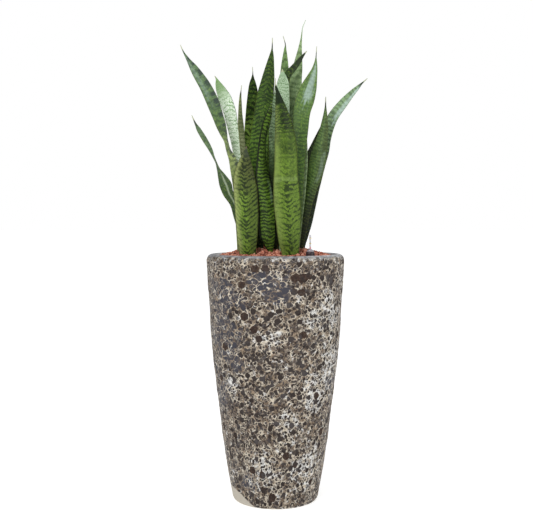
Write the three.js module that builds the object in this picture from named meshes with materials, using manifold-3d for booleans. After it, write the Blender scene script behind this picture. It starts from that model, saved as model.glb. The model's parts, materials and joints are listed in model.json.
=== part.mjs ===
// Potted Ceylon bowstring hemp: a tuft of sword-shaped leaves on creeping rhizomes, set in clay granules in a
// tall tapered planter with a cratered lava glaze. A water gauge stands in the granules at the front right.
// Units are millimetres, +Z is up, and the origin is the middle of the planter's flat foot.

import * as THREE from "three";
import * as BufferGeometryUtils from "three/addons/utils/BufferGeometryUtils.js";
import Module from "manifold-3d";

const wasm = await Module();
wasm.setup();

// Driving dimensions
const GAP = 0.3;                 // running gap between neighbouring pieces
const POT_HEIGHT = 664;
const POT_RIM_RADIUS = 185;      // widest outer radius, just below the rim
const POT_FOOT_RADIUS = 115.8;
const POT_FLOOR = 30;            // thickness of the planter's floor
const RIM_ROUNDING = 15;         // radius of the rounded rim
const GRANULE_EDGE = 659;        // height of the granules against the rim
const MOUND_HEIGHT = 31;         // how far the granules are heaped up round the leaves
const MOUND_CENTRE = [-5, 25];
const MOUND_REACH = [135, 75];   // how far the heap spreads along X and along Y
const LEAF_BOTTOM = 613;         // height at which the leaves meet the rhizomes
const RHIZOME_RADIUS = 12;
const VIEW_DISTANCE = 2400;      // leaf outlines are read from this far in front
const VIEW_HEIGHT = 756;         // and from this height above the floor

// Outer radius of the planter at fractions of its height, foot to rim
const POT_OUTLINE = [
  [0.012, 115.8], [0.18, 135.4], [0.40, 153.9], [0.62, 171.0], [0.80, 178.4], [0.955, 184.6],
];

const finish = (color, roughness) => new THREE.MeshStandardMaterial({ color, roughness, metalness: 0 });
const FINISHES = {
  glaze: finish(0x6e6660, 0.5),
  granule: finish(0xb0705a, 0.95),
  rhizome: finish(0xb9a36a, 0.7),
  leaf: finish(0x5c7a2c, 0.4),
  darkLeaf: finish(0x35552a, 0.4),
  greyLeaf: finish(0x6d8f6e, 0.35),
  paleLeaf: finish(0xc9dcc4, 0.5),
  clear: finish(0xd9dde0, 0.15),
  gaugeBody: finish(0x2c2430, 0.5),
  float: finish(0xe8e4da, 0.5),
  pointer: finish(0xc23a26, 0.4),
};

const MERGE_DISTANCE = 1e-3;     // points nearer than this are one point

const plant = new THREE.Group();

function add(name, geometry, material) {
  const mesh = new THREE.Mesh(geometry, material);
  mesh.name = name;
  plant.add(mesh);
}

// A closed skin over a row of rings that all have the same number of points, with flat ends
function skin(rings) {
  const sides = rings[0].length;
  const positions = rings.flat().flatMap((p) => [p.x, p.y, p.z]);
  const index = [];
  for (let i = 0; i + 1 < rings.length; i++) {
    for (let j = 0; j < sides; j++) {
      const a = i * sides + j;
      const b = i * sides + ((j + 1) % sides);
      index.push(a, b, b + sides, a, b + sides, a + sides);
    }
  }
  for (const [ring, flip] of [[0, true], [rings.length - 1, false]]) {
    const quarter = Math.floor(sides / 4);
    const centre = rings[ring][quarter].clone().lerp(rings[ring][quarter + sides / 2], 0.5);
    const hub = positions.length / 3;
    positions.push(centre.x, centre.y, centre.z);
    for (let j = 0; j < sides; j++) {
      const a = ring * sides + j;
      const b = ring * sides + ((j + 1) % sides);
      index.push(...(flip ? [hub, b, a] : [hub, a, b]));
    }
  }
  const geometry = new THREE.BufferGeometry();
  geometry.setAttribute("position", new THREE.Float32BufferAttribute(positions, 3));
  geometry.setIndex(index);
  return geometry;
}

function toSolid(geometry) {
  const bare = geometry.clone();
  for (const name of ["normal", "uv"]) bare.deleteAttribute(name);
  const merged = BufferGeometryUtils.mergeVertices(bare, MERGE_DISTANCE);
  const vertProperties = new Float32Array(merged.attributes.position.array);
  const triVerts = new Uint32Array(merged.index.array);
  return new wasm.Manifold(new wasm.Mesh({ numProp: 3, vertProperties, triVerts }));
}

function toGeometry(solid) {
  const mesh = solid.getMesh();
  const geometry = new THREE.BufferGeometry();
  geometry.setAttribute("position", new THREE.BufferAttribute(mesh.vertProperties, 3));
  geometry.setIndex(new THREE.BufferAttribute(mesh.triVerts, 1));
  return geometry;
}

// The main solid of a cut piece, without crumbs that the cut leaves
const largest = (pieces) => pieces.reduce((best, piece) => (piece.volume() > best.volume() ? piece : best));

// A turned piece: the profile of [radius, height] pairs goes round the axis at (x, y)
function turned(profile, sides, x = 0, y = 0) {
  const geometry = new THREE.LatheGeometry(profile.map(([r, z]) => new THREE.Vector2(r, z)), sides);
  geometry.rotateX(Math.PI / 2);
  geometry.translate(x, y, 0);
  for (const name of ["normal", "uv"]) geometry.deleteAttribute(name);
  return BufferGeometryUtils.mergeVertices(geometry, MERGE_DISTANCE);
}

// The planter: one thick-walled tapered vessel with a rounded rim and a flat foot

const POT_SIDES = 48;
const FOOT_ROUNDING = 7.5;
const WALL = 14;                     // wall thickness below the thicker rim
const OUTSIDE_LEVELS = [0.12, 0.25, 0.40, 0.55, 0.70, 0.85];
const INSIDE_LEVELS = [POT_FLOOR / POT_HEIGHT, 0.25, 0.55, 0.86];
const BISECTIONS = 30;

// Outer radius at a fraction of the height, found on a smooth curve through the outline by halving
function potRadius(fraction) {
  const points = POT_OUTLINE.map(([f, r]) => new THREE.Vector2(r, f * POT_HEIGHT));
  const spline = new THREE.SplineCurve(points);
  const target = fraction * POT_HEIGHT;
  let [low, high] = [0, 1];
  for (let i = 0; i < BISECTIONS; i++) {
    const middle = (low + high) / 2;
    if (spline.getPoint(middle).y < target) low = middle;
    else high = middle;
  }
  return spline.getPoint(low).x;
}

// Points on an arc about (r, z), from one angle to another in degrees
const arc = (r, z, radius, from, to, steps) =>
  Array.from({ length: steps + 1 }, (_, i) => {
    const angle = ((from + ((to - from) * i) / steps) * Math.PI) / 180;
    return [r + radius * Math.cos(angle), z + radius * Math.sin(angle)];
  });

const rimCentre = [POT_RIM_RADIUS - RIM_ROUNDING, POT_HEIGHT - RIM_ROUNDING];
const NECK_RADIUS = POT_RIM_RADIUS - 2 * RIM_ROUNDING;   // inside the rolled rim

// The inside of the planter from the floor up to the neck, as [radius, height]
const cavity = [
  ...INSIDE_LEVELS.map((f) => [potRadius(f) - WALL, f * POT_HEIGHT]),
  [NECK_RADIUS, rimCentre[1]],
];

const potProfile = [
  [0, 0],
  ...arc(POT_FOOT_RADIUS - FOOT_ROUNDING, FOOT_ROUNDING, FOOT_ROUNDING, -90, 0, 2),
  ...OUTSIDE_LEVELS.map((f) => [potRadius(f), f * POT_HEIGHT]),
  ...arc(...rimCentre, RIM_ROUNDING, 0, 180, 6),
  ...cavity.slice(0, -1).reverse(),
  [0, POT_FLOOR],
];
add("planter", turned(potProfile, POT_SIDES), FINISHES.glaze);

// Leaves
// Each station of a leaf is [x, z, width, turn, y]. x and z are where the middle of the blade is seen from
// the viewing point, on the plane y = 0, and y is how far behind that plane it really is. width is the
// blade's real width, and turn the angle in degrees by which it is turned away from facing the front.
// cup is the depth of the channel as a part of half the width: positive is hollow to the front, negative is
// hollow to the back. thick is the thickness along the middle of the blade.

const seenFromFront = (x, z, y) => {
  const scale = 1 + y / VIEW_DISTANCE;
  return new THREE.Vector3(x * scale, y, VIEW_HEIGHT + (z - VIEW_HEIGHT) * scale);
};

const LEAVES = [
  { name: "leaf_far_left", finish: "greyLeaf", cup: 0.32, thick: 3.0, stations: [
    [-88, 668, 20, -15, -34], [-94, 736, 23, -20, -36], [-102, 765, 24, -25, -39],
    [-111, 800, 26, -20, -44], [-128, 829, 31, -20, -50], [-134, 849, 37, -25, -53],
    [-144, 872, 27, -35, -58], [-154, 893, 16, -60, -61], [-160.5, 909, 11, -76, -64],
    [-166, 923, 10, -62, -66], [-174.5, 944, 12.5, -35, -70], [-190, 971, 14.5, -20, -76],
    [-205, 996, 12.5, -15, -82], [-215, 1014, 5, -10, -86], [-225, 1036, 1.6, -10, -92] ] },
  { name: "leaf_upper_left", finish: "greyLeaf", cup: 0.3, thick: 3.2, stations: [
    [-92, 668, 22, 0, -8], [-95, 760, 26, 0, -9], [-99, 830, 28, 0, -10], [-106, 880, 28, -10, -11],
    [-116, 920, 24, -35, -13], [-126.5, 943, 22, -55, -14], [-133, 967, 26, -64, -16],
    [-140, 990, 30, -45, -18], [-151.2, 1024, 30, -15, -21], [-169.2, 1073, 34, -10, -26],
    [-188.2, 1113, 31, -10, -31], [-205.7, 1141, 27, -10, -35], [-219.2, 1162, 21, -10, -38],
    [-233.7, 1184, 10, -10, -41], [-247, 1206, 3.2, -10, -44], [-255, 1224, 1.6, -10, -46] ] },
  { name: "leaf_pale_left", finish: "paleLeaf", cup: 0.25, thick: 2.8, stations: [
    [-76, 668, 25, 16, 18], [-82, 780, 27, 16, 18], [-92, 870, 27, 16, 17], [-101, 925, 24, 16, 16],
    [-107, 965, 27, 16, 15], [-114, 1000, 30, 16, 15], [-123, 1045, 35.5, 16, 15],
    [-135, 1079, 36.5, 16, 16], [-146, 1103, 28, 16, 17], [-153, 1119, 17.5, 16, 18],
    [-158, 1133, 5.2, 16, 19], [-163, 1141, 1.6, 16, 20] ] },
  { name: "leaf_edge_on_left", finish: "darkLeaf", cup: 0.3, thick: 3.0, stations: [
    [-76, 668, 18, 60, -22], [-79, 780, 22, 60, -22], [-83, 880, 25, 60, -22],
    [-89, 960, 27, 58, -22], [-92.7, 1004, 27, 57, -21], [-94.5, 1045, 20, 60, -20],
    [-94, 1086, 7, 50, -19], [-92.5, 1101, 2.2, 0, -19], [-90.6, 1116, 1.5, 0, -19] ] },
  { name: "leaf_front_left", finish: "leaf", cup: -0.26, thick: 3.6, stations: [
    [-75, 666, 44.5, -10, -59], [-76, 724, 57, -10, -62], [-78, 790, 63.5, -10, -66],
    [-80.5, 832, 64, -10, -69], [-83.5, 866, 58, -10, -72], [-82.5, 902, 40.5, -10, -76],
    [-80.5, 926, 22.5, -10, -79], [-79, 942, 8.1, -10, -82], [-78, 953, 1.6, -10, -84] ] },
  { name: "leaf_behind_left", finish: "darkLeaf", cup: 0.28, thick: 3.2, stations: [
    [-46, 672, 28, 22, 18], [-54, 790, 41, 22, 21], [-61, 900, 46.5, 22, 26],
    [-62.5, 985, 45.5, 22, 32], [-61, 1042, 40.5, 22, 36], [-60.5, 1080, 34, 22, 39],
    [-60.5, 1102, 28, 22, 41], [-61, 1121, 19.5, 22, 42], [-61, 1137, 7.5, 22, 43],
    [-60.8, 1148, 2.4, 22, 44], [-61.6, 1165, 1.5, 22, 45] ] },
  { name: "leaf_tall_left", finish: "leaf", cup: 0.26, thick: 3.6, stations: [
    [-50, 672, 34.5, -18, -15], [-49, 760, 47.5, -18, -18], [-48, 860, 53.5, -18, -21],
    [-45, 955, 54.5, -18, -25], [-36, 1025, 51.5, -18, -28], [-27, 1089, 46.5, -18, -31],
    [-20.5, 1127, 37.5, -18, -33], [-15, 1164, 25, -18, -35], [-10.5, 1195, 12.5, -18, -37],
    [-8.7, 1215, 3.6, -18, -38], [-8, 1242, 1.6, -18, -40] ] },
  { name: "leaf_front_centre", finish: "leaf", cup: -0.26, thick: 3.4, stations: [
    [-12.5, 666, 12, 0, -47], [-16.5, 689, 28, 0, -49], [-21.5, 715, 42, 0, -52],
    [-24, 770, 45, 0, -56], [-28, 820, 43, 10, -60], [-36, 875, 41, 32, -64],
    [-37.5, 915, 37, 46, -68], [-35.5, 965, 32, 54, -72], [-29, 1005, 28, 52, -75],
    [-20, 1035, 18, 42, -78], [-14, 1055, 7, 20, -80], [-11, 1068, 1.6, 0, -82] ] },
  { name: "leaf_front_right", finish: "leaf", cup: -0.24, thick: 4.0, stations: [
    [40, 666, 46.5, 10, -74], [37.5, 700, 58, 10, -77], [35.5, 745, 66, 10, -81],
    [31, 808, 70.5, 10, -87], [28.5, 856, 66, 10, -92], [28, 900, 61, 10, -97],
    [27.5, 956, 57.5, 10, -104], [21, 1018, 43, 10, -112], [15.5, 1050, 31.5, 10, -117],
    [9, 1080, 18, 10, -121], [4, 1104, 7.1, 10, -125], [-1, 1122, 1.6, 10, -128] ] },
  { name: "leaf_pale_centre", finish: "paleLeaf", cup: 0.26, thick: 2.8, stations: [
    [21, 668, 19.5, -15, -46], [21, 790, 28, -15, -52], [21, 900, 32, -15, -61],
    [21, 1000, 34, -15, -71], [21, 1075, 34, -15, -80], [20, 1117, 33, -15, -86],
    [19.5, 1137, 21.5, -15, -89], [18.5, 1150, 9.3, -15, -91], [18.5, 1159, 1.6, -15, -92] ] },
  { name: "leaf_tall_centre", finish: "leaf", cup: 0.28, thick: 3.2, stations: [
    [22, 676, 29.5, 28, -8], [18, 800, 38.5, 28, -8], [18, 910, 42, 28, -8], [20, 1010, 43, 28, -8],
    [22.5, 1095, 38.5, 28, -8], [25, 1142, 29.5, 28, -8], [25, 1166, 23, 28, -8],
    [25.4, 1186, 17, 28, -8], [26, 1211, 7.4, 28, -8], [26.5, 1224, 2.9, 28, -8],
    [20.5, 1247, 1.6, 28, -8] ] },
  { name: "leaf_tallest", finish: "leaf", cup: 0.26, thick: 3.4, stations: [
    [51, 672, 28.5, -20, -28], [56, 755, 36, -20, -29], [61, 830, 42.5, -20, -30],
    [65.5, 920, 45, -20, -32], [62.5, 990, 44.5, -20, -34], [57, 1060, 41.5, -20, -36],
    [53.5, 1125, 36, -20, -38], [58.5, 1157, 28.5, -20, -38], [62.5, 1187, 19.5, -20, -38],
    [66.3, 1217, 9.6, -20, -38], [69.8, 1246, 3.4, -20, -38], [73, 1270, 2.2, -20, -38],
    [81, 1289, 1.4, -20, -38] ] },
  { name: "leaf_dark_bent", finish: "darkLeaf", cup: 0.26, thick: 3.0, stations: [
    [17, 672, 20, 0, -27], [16, 790, 29, 0, -31], [14, 900, 31, 0, -38], [13.5, 1000, 30, 0, -46],
    [16, 1065, 27, 0, -53], [23, 1118, 24, 0, -59], [33, 1144, 20, 0, -62],
    [47, 1160, 17.5, 0, -65], [60, 1176, 14, 0, -67], [73, 1194, 7, 0, -69], [84, 1207, 1.6, 0, -71] ] },
  { name: "leaf_glossy_right", finish: "greyLeaf", cup: 0.24, thick: 3.4, stations: [
    [47, 668, 28, 15, -50], [52, 760, 37.5, 15, -53], [56, 850, 40.5, 15, -58],
    [61, 940, 42.5, 15, -64], [67.5, 1002, 43, 15, -69], [71.5, 1048, 46.5, 15, -74],
    [80, 1078, 49, 15, -77], [89, 1108, 43, 15, -81], [98, 1136, 28.5, 15, -84],
    [104.5, 1157, 16.5, 15, -86], [108, 1180, 6.2, 15, -88], [108.7, 1192, 2.7, 15, -89],
    [110.5, 1219, 1.5, 15, -91] ] },
  { name: "leaf_right", finish: "leaf", cup: -0.22, thick: 3.2, stations: [
    [66, 686, 21, -18, 0], [71.5, 734, 28.5, -18, -3], [81.5, 792, 34.5, -18, -7],
    [94, 843, 40, -18, -11], [106, 880, 45, -18, -14], [113, 912, 47.5, -18, -17],
    [118, 940, 42, -18, -20], [124.5, 968, 33, -18, -23], [130.5, 1000, 23.5, -18, -27],
    [133.8, 1036, 11.5, -18, -31], [134.6, 1063, 3.6, -18, -34], [135, 1085, 1.8, -18, -37] ] },
  { name: "leaf_far_right", finish: "greyLeaf", cup: 0.26, thick: 3.2, stations: [
    [72, 680, 17, 20, 24], [80, 712, 19.5, 20, 24], [88, 752, 26.5, 20, 24],
    [95, 792, 29.5, 20, 24], [103, 833, 31, 20, 23], [111, 868, 32, 20, 22], [119, 902, 33, 20, 20],
    [129, 942, 34, 20, 17], [134, 975, 34, 20, 14], [142.5, 1005, 33, 20, 10],
    [156, 1034, 30.5, 20, 5], [181, 1067, 26, 20, -2], [200.4, 1089.5, 19, 20, -7],
    [220.5, 1110, 11, 20, -12], [232.7, 1122, 4.3, 20, -15], [246.7, 1134, 1.6, 20, -18] ] },
  { name: "leaf_shaded_right", finish: "darkLeaf", cup: 0.24, thick: 3.0, stations: [
    [25, 676, 22, 25, 24], [40, 760, 31, 25, 34], [58, 840, 33, 25, 42], [79, 896, 32, 25, 44],
    [97, 932, 30, 25, 43], [111, 961, 27.5, 25, 40], [122, 990, 20, 25, 36], [131, 1020, 2, 25, 32] ] },
  { name: "leaf_silver_centre", finish: "paleLeaf", cup: 0.22, thick: 2.8, stations: [
    [-1, 670, 18, -40, -26], [-5, 760, 26, -50, -34], [-9, 849, 32, -55, -45],
    [-9.5, 920, 30, -60, -53], [-8, 985, 28, -62, -60], [-4.8, 1022, 21, -66, -65],
    [-3, 1067, 12, -62, -71], [-1.2, 1104, 4, -50, -76], [0, 1135, 1.5, 0, -80] ] },
  { name: "leaf_back_left", finish: "leaf", cup: 0.26, thick: 3.2, stations: [
    [-66, 676, 20, -35, 46], [-76, 800, 24, -35, 62], [-95, 900, 24, -35, 84],
    [-106, 962, 21, -35, 98], [-120, 1025, 24, -35, 115], [-134, 1072, 18, -35, 130],
    [-144, 1100, 7, -35, 140], [-150, 1117, 1.6, -35, 146] ] },
  { name: "leaf_back_centre", finish: "leaf", cup: 0.26, thick: 3.6, stations: [
    [-14, 680, 28, 25, 44], [-22, 790, 42, 25, 62], [-30, 890, 47, 25, 90], [-34, 970, 44, 25, 120],
    [-31, 1035, 34, 25, 150], [-27, 1080, 16, 25, 172], [-25, 1102, 1.8, 25, 184] ] },
  { name: "leaf_back_tall", finish: "leaf", cup: 0.26, thick: 3.6, stations: [
    [20, 680, 28, -30, 52], [22, 790, 40, -30, 66], [24, 890, 44, -30, 86], [26, 980, 42, -30, 108],
    [26, 1050, 32, -30, 128], [25, 1100, 15, -30, 144], [24, 1125, 1.8, -30, 152] ] },
  { name: "leaf_back_right", finish: "greyLeaf", cup: 0.26, thick: 3.2, stations: [
    [49, 680, 22, 40, 48], [56, 800, 32, 40, 66], [62, 890, 34, 40, 86], [67, 970, 30, 40, 106],
    [77, 1035, 26, 40, 124], [89, 1085, 14, 40, 138], [100, 1117, 1.6, 40, 148] ] },
  { name: "leaf_back_low", finish: "leaf", cup: 0.24, thick: 3.8, stations: [
    [2, 682, 26, 8, 76], [0, 750, 40, 8, 98], [-2, 820, 50, 8, 130], [-4, 880, 46, 8, 168],
    [-5, 925, 30, 8, 202], [-6, 955, 12, 8, 226], [-6, 968, 1.8, 8, 238] ] },
  { name: "leaf_back_leaning", finish: "darkLeaf", cup: 0.26, thick: 3.2, stations: [
    [-36, 678, 22, -25, 66], [-45, 790, 32, -25, 94], [-53, 880, 34, -25, 130],
    [-58, 950, 24, -25, 164], [-61, 995, 10, -25, 190], [-62, 1017, 1.8, -25, 204] ] },
  { name: "leaf_young_right", finish: "leaf", cup: 0.28, thick: 2.8, stations: [
    [74, 676, 18, 50, 46], [83, 750, 27, 50, 66], [92, 820, 28, 50, 92], [99, 872, 16, 50, 114],
    [104, 905, 1.8, 50, 130] ] },
];

const LEAF_RING_STEP = 45;   // distance along the leaf between two rings
const LEAF_RING_TWIST = 9;   // and the most, in degrees, that the blade turns between them
const LEAF_FOOT_SHARE = 0.72;  // width of a leaf's foot, as a part of the width at its first station
const HOLE_DEPTH = 5;        // how far a leaf's hole runs on below its foot, into the rhizome's own hole

// Rings round one leaf. grow widens every ring by that much, for the hole that the leaf stands in.
function leafRings({ stations, cup, thick }, grow = 0) {
  const [x0, , w0, t0, y0] = stations[0];
  const foot = new THREE.Vector3(seenFromFront(x0, LEAF_BOTTOM, y0).x, y0, LEAF_BOTTOM);
  const points = [foot, ...stations.map(([x, z, , , y]) => seenFromFront(x, z, y))];
  const widths = [LEAF_FOOT_SHARE * w0, ...stations.map((s) => s[2])];
  const turns = [t0, ...stations.map((s) => s[3])];
  const spine = new THREE.CatmullRomCurve3(points, false, "centripetal");
  const spans = points.length - 1;
  const rings = [];
  for (let k = 0; k < spans; k++) {
    const length = points[k].distanceTo(points[k + 1]);
    const twist = Math.abs(turns[k + 1] - turns[k]);
    const steps = Math.max(1, Math.round(length / LEAF_RING_STEP), Math.ceil(twist / LEAF_RING_TWIST));
    for (let i = 0; i < steps || (k === spans - 1 && i === steps); i++) {
      const f = i / steps;
      const at = (values) => values[k] + (values[k + 1] - values[k]) * f;
      rings.push(bladeSection(spine, (k + f) / spans, at(widths), at(turns), cup, thick, grow));
    }
  }
  if (grow > 0) rings.unshift(rings[0].map((p) => new THREE.Vector3(p.x, p.y, p.z - HOLE_DEPTH)));
  return rings;
}

const FRONT_STEPS = [-1, -0.5, 0, 0.5, 1];   // places across the blade's front, from margin to margin
const BACK_STEPS = [1, 0, -1];
const THICKNESS_SHARE = 0.45;    // a narrow blade is no thicker than this part of its width
const MARGIN_THINNING = 0.8;     // how much of its thickness the blade loses towards its margins
const CHANNEL_POWER = 1.25;      // shape of the channel, between a sharp fold at 1 and a round one at 2

// One section of a blade: a channel, thickest in the middle and thin at its margins
function bladeSection(spine, u, width, turn, cup, thick, grow) {
  const centre = spine.getPoint(u);
  const along = spine.getTangent(u);
  const facing = new THREE.Vector3(0, -1, 0).addScaledVector(along, along.y).normalize();
  const across = new THREE.Vector3().crossVectors(along, facing);
  const angle = THREE.MathUtils.degToRad(turn);
  const side = across.clone().multiplyScalar(Math.cos(angle)).addScaledVector(facing, -Math.sin(angle));
  const front = facing.clone().multiplyScalar(Math.cos(angle)).addScaledVector(across, Math.sin(angle));
  const half = width / 2 + grow;
  const body = Math.min(thick, THICKNESS_SHARE * width) / 2;
  const at = (s, face) => {
    const hollow = -cup * half * (1 - Math.abs(s) ** CHANNEL_POWER);
    const skinDepth = face * (body * (1 - MARGIN_THINNING * s * s) + grow);
    return centre.clone().addScaledVector(side, s * half).addScaledVector(front, hollow + skinDepth);
  };
  return [...FRONT_STEPS.map((s) => at(s, 1)), ...BACK_STEPS.map((s) => at(s, -1))];
}

for (const leaf of LEAVES) add(leaf.name, skin(leafRings(leaf)), FINISHES[leaf.finish]);

// Rhizomes: creeping underground stems that carry the leaves

const RHIZOMES = [
  { name: "rhizome_left", route: [[-72, -64], [-84, -36], [-91, -8], [-78, 20], [-67, 52]] },
  { name: "rhizome_middle", route: [[-10, -62], [-28, -34], [-48, -14], [-46, 20], [-36, 76]] },
  { name: "rhizome_centre",
    route: [[20, -56], [19, -42], [11, -25], [20, -3], [26, 24], [16, 50], [2, 88]] },
  { name: "rhizome_right", route: [[40, -86], [47, -56], [53, -28], [66, 0], [72, 26], [56, 58]] },
];

const RHIZOME_SIDES = 8;
const RHIZOME_STEP = 18;         // distance along a rhizome between two rings
const RHIZOME_END_SHARE = 0.72;  // radius at its two ends, as a part of the full radius

function rhizomeRings({ route }, grow = 0) {
  const centreHeight = LEAF_BOTTOM - GAP - RHIZOME_RADIUS;
  const line = new THREE.CatmullRomCurve3(route.map(([x, y]) => new THREE.Vector3(x, y, centreHeight)));
  const steps = Math.round(line.getLength() / RHIZOME_STEP);
  return Array.from({ length: steps + 1 }, (_, i) => {
    const u = i / steps;
    const centre = line.getPointAt(u);
    const along = line.getTangentAt(u);
    if (i === 0) centre.addScaledVector(along, -grow);
    if (i === steps) centre.addScaledVector(along, grow);
    const side = new THREE.Vector3(-along.y, along.x, 0).normalize();
    const nearEnd = Math.min(u, 1 - u) * steps;
    const radius = RHIZOME_RADIUS * (nearEnd < 1 ? RHIZOME_END_SHARE : 1) + grow;
    return Array.from({ length: RHIZOME_SIDES }, (_, j) => {
      const angle = (2 * Math.PI * j) / RHIZOME_SIDES + Math.PI / 2;
      return centre.clone()
        .addScaledVector(side, radius * Math.cos(angle))
        .add(new THREE.Vector3(0, 0, radius * Math.sin(angle)));
    });
  });
}

for (const rhizome of RHIZOMES) add(rhizome.name, skin(rhizomeRings(rhizome)), FINISHES.rhizome);

// Water gauge: a housing in the granules, a clear hood with a sight tube, and a float with its red pointer

const GAUGE = [91, -80];
const GAUGE_SIDES = 14;
const HOUSING_TOP = 672;
const HOUSING_BOTTOM = 484;
const HOUSING_RADIUS = 11.4;
const HOUSING_BORE = 9.6;
const HOUSING_BEVEL = [1, 3];    // bevel of the housing's upper edge, along its radius and its height
const FOOT_THICKNESS = 3;
const WATER_HOLE_RADIUS = 2.5;   // hole in the gauge's foot, where the water comes in
const HOOD_TOP = 679.5;
const HOOD_INSET = 1.2;          // the hood stands this far in from the housing, on a rim as high
const HOOD_WALL = 1.4;
const HOOD_LIP = 0.6;            // the hood's foot reaches this far over the housing's bore
const HOOD_FILLET = 1.5;         // height of the fillet between the hood and the sight tube
const SIGHT_TOP = 717;
const SIGHT_RADIUS = 3;
const SIGHT_BORE = 2.1;
const SIGHT_CAP = 1.2;           // thickness of the sight tube's closed end, in the middle
const SIGHT_CAP_EDGE = 1.6;      // and at its edge
const FLOAT_RADIUS = 8.6;
const FLOAT_LENGTH = 34;
const ROD_RADIUS = 0.8;
const POINTER_RADIUS = 1.7;
const POINTER_BOTTOM = 679;
const POINTER_TOP = 684;
const POINTER_BEVEL = 0.6;
const POINTER_SIDES = 8;
const BEVEL = 1;                 // every other small bevel on the gauge

const footTop = HOUSING_BOTTOM + FOOT_THICKNESS;
const housingBottom = footTop + GAP;
const hoodBottom = HOUSING_TOP + GAP;
const floatBottom = footTop + GAP;
const floatTop = floatBottom + FLOAT_LENGTH;
const rodBottom = floatTop + GAP;

const housingProfile = [
  [HOUSING_BORE, housingBottom],
  [HOUSING_RADIUS, housingBottom],
  [HOUSING_RADIUS, HOUSING_TOP - HOUSING_BEVEL[1]],
  [HOUSING_RADIUS - HOUSING_BEVEL[0], HOUSING_TOP],
  [HOUSING_BORE, HOUSING_TOP],
];
const hoodProfile = [
  [HOUSING_RADIUS - HOOD_INSET, hoodBottom],
  [HOUSING_RADIUS - HOOD_INSET, hoodBottom + HOOD_INSET],
  [SIGHT_RADIUS + BEVEL, HOOD_TOP],
  [SIGHT_RADIUS, HOOD_TOP + HOOD_FILLET],
  [SIGHT_RADIUS, SIGHT_TOP - BEVEL],
  [SIGHT_RADIUS - BEVEL, SIGHT_TOP],
  [0, SIGHT_TOP],
  [0, SIGHT_TOP - SIGHT_CAP],
  [SIGHT_BORE, SIGHT_TOP - SIGHT_CAP_EDGE],
  [SIGHT_BORE, HOOD_TOP - HOOD_WALL],
  [HOUSING_BORE - HOOD_LIP, hoodBottom],
];
const footProfile = [
  [WATER_HOLE_RADIUS, HOUSING_BOTTOM],
  [HOUSING_RADIUS, HOUSING_BOTTOM],
  [HOUSING_RADIUS, footTop],
  [WATER_HOLE_RADIUS, footTop],
];
const floatProfile = [
  [0, floatBottom],
  [FLOAT_RADIUS - BEVEL, floatBottom],
  [FLOAT_RADIUS, floatBottom + BEVEL],
  [FLOAT_RADIUS, floatTop - BEVEL],
  [FLOAT_RADIUS - BEVEL, floatTop],
  [0, floatTop],
];
const pointerProfile = [
  [0, rodBottom],
  [ROD_RADIUS, rodBottom],
  [ROD_RADIUS, POINTER_BOTTOM],
  [POINTER_RADIUS, POINTER_BOTTOM + POINTER_BEVEL],
  [POINTER_RADIUS, POINTER_TOP - POINTER_BEVEL],
  [ROD_RADIUS, POINTER_TOP],
  [0, POINTER_TOP],
];

const closed = (profile) => [...profile, profile[0]];
const onGauge = (profile, sides = GAUGE_SIDES) => turned(profile, sides, ...GAUGE);
add("gauge_housing", onGauge(closed(housingProfile)), FINISHES.gaugeBody);
add("gauge_sight_tube", onGauge(closed(hoodProfile)), FINISHES.clear);
add("gauge_foot", onGauge(closed(footProfile)), FINISHES.gaugeBody);
add("gauge_float", onGauge(floatProfile), FINISHES.float);
add("gauge_pointer", onGauge(pointerProfile, POINTER_SIDES), FINISHES.pointer);

// Granules: one bed that fills the planter, heaped up round the leaves, with holes for what stands in it

const clearOfWall = (radius) => radius * Math.cos(Math.PI / POT_SIDES) - GAP;
const BED_RADIUS = clearOfWall(NECK_RADIUS);
const BED_SECTORS = 30;
const BED_CIRCLES = 7;

function granuleHeight(x, y) {
  const dx = (x - MOUND_CENTRE[0]) / MOUND_REACH[0];
  const dy = (y - MOUND_CENTRE[1]) / MOUND_REACH[1];
  const edge = 1 - (Math.hypot(x, y) / BED_RADIUS) ** 4;
  return GRANULE_EDGE + MOUND_HEIGHT * Math.exp(-(dx * dx + dy * dy)) * Math.max(edge, 0);
}

// The bed fills the planter's inside, from the floor up to its heaped top
function granuleBed() {
  const circle = (radius, height) => Array.from({ length: BED_SECTORS }, (_, j) => {
    const angle = (2 * Math.PI * j) / BED_SECTORS;
    const [x, y] = [radius * Math.cos(angle), radius * Math.sin(angle)];
    return new THREE.Vector3(x, y, height ?? granuleHeight(x, y));
  });
  const rings = cavity.map(([radius, z], i) => circle(clearOfWall(radius), i === 0 ? z + GAP : z));
  for (let i = BED_CIRCLES; i > 0; i--) rings.push(circle((BED_RADIUS * i) / BED_CIRCLES));
  return skin(rings);
}

let bed = toSolid(granuleBed());
for (const leaf of LEAVES) bed = bed.subtract(toSolid(skin(leafRings(leaf, GAP))));
for (const rhizome of RHIZOMES) bed = bed.subtract(toSolid(skin(rhizomeRings(rhizome, GAP))));
const gaugeHole = onGauge([
  [0, HOUSING_BOTTOM - GAP],
  [HOUSING_RADIUS + GAP, HOUSING_BOTTOM - GAP],
  [HOUSING_RADIUS + GAP, HOOD_TOP],
  [0, HOOD_TOP],
]);
bed = bed.subtract(toSolid(gaugeHole));

// Larger lumps of fired clay lying on the granules, [x, y, size, turn in degrees]
const LUMPS = [
  [6, -66, 17, 20], [-34, -66, 14, 70], [-20, -22, 13, 130], [78, -32, 16, 200], [58, -88, 12, 260],
];
const LUMP_SHAPE = [1, 0.82, 0.72];   // length, width and height, as parts of the size
const LUMP_WOBBLE = 0.16;             // how uneven its surface is
const LUMP_RISE = 0.2;                // height of its middle above the granules, as a part of the size

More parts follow.
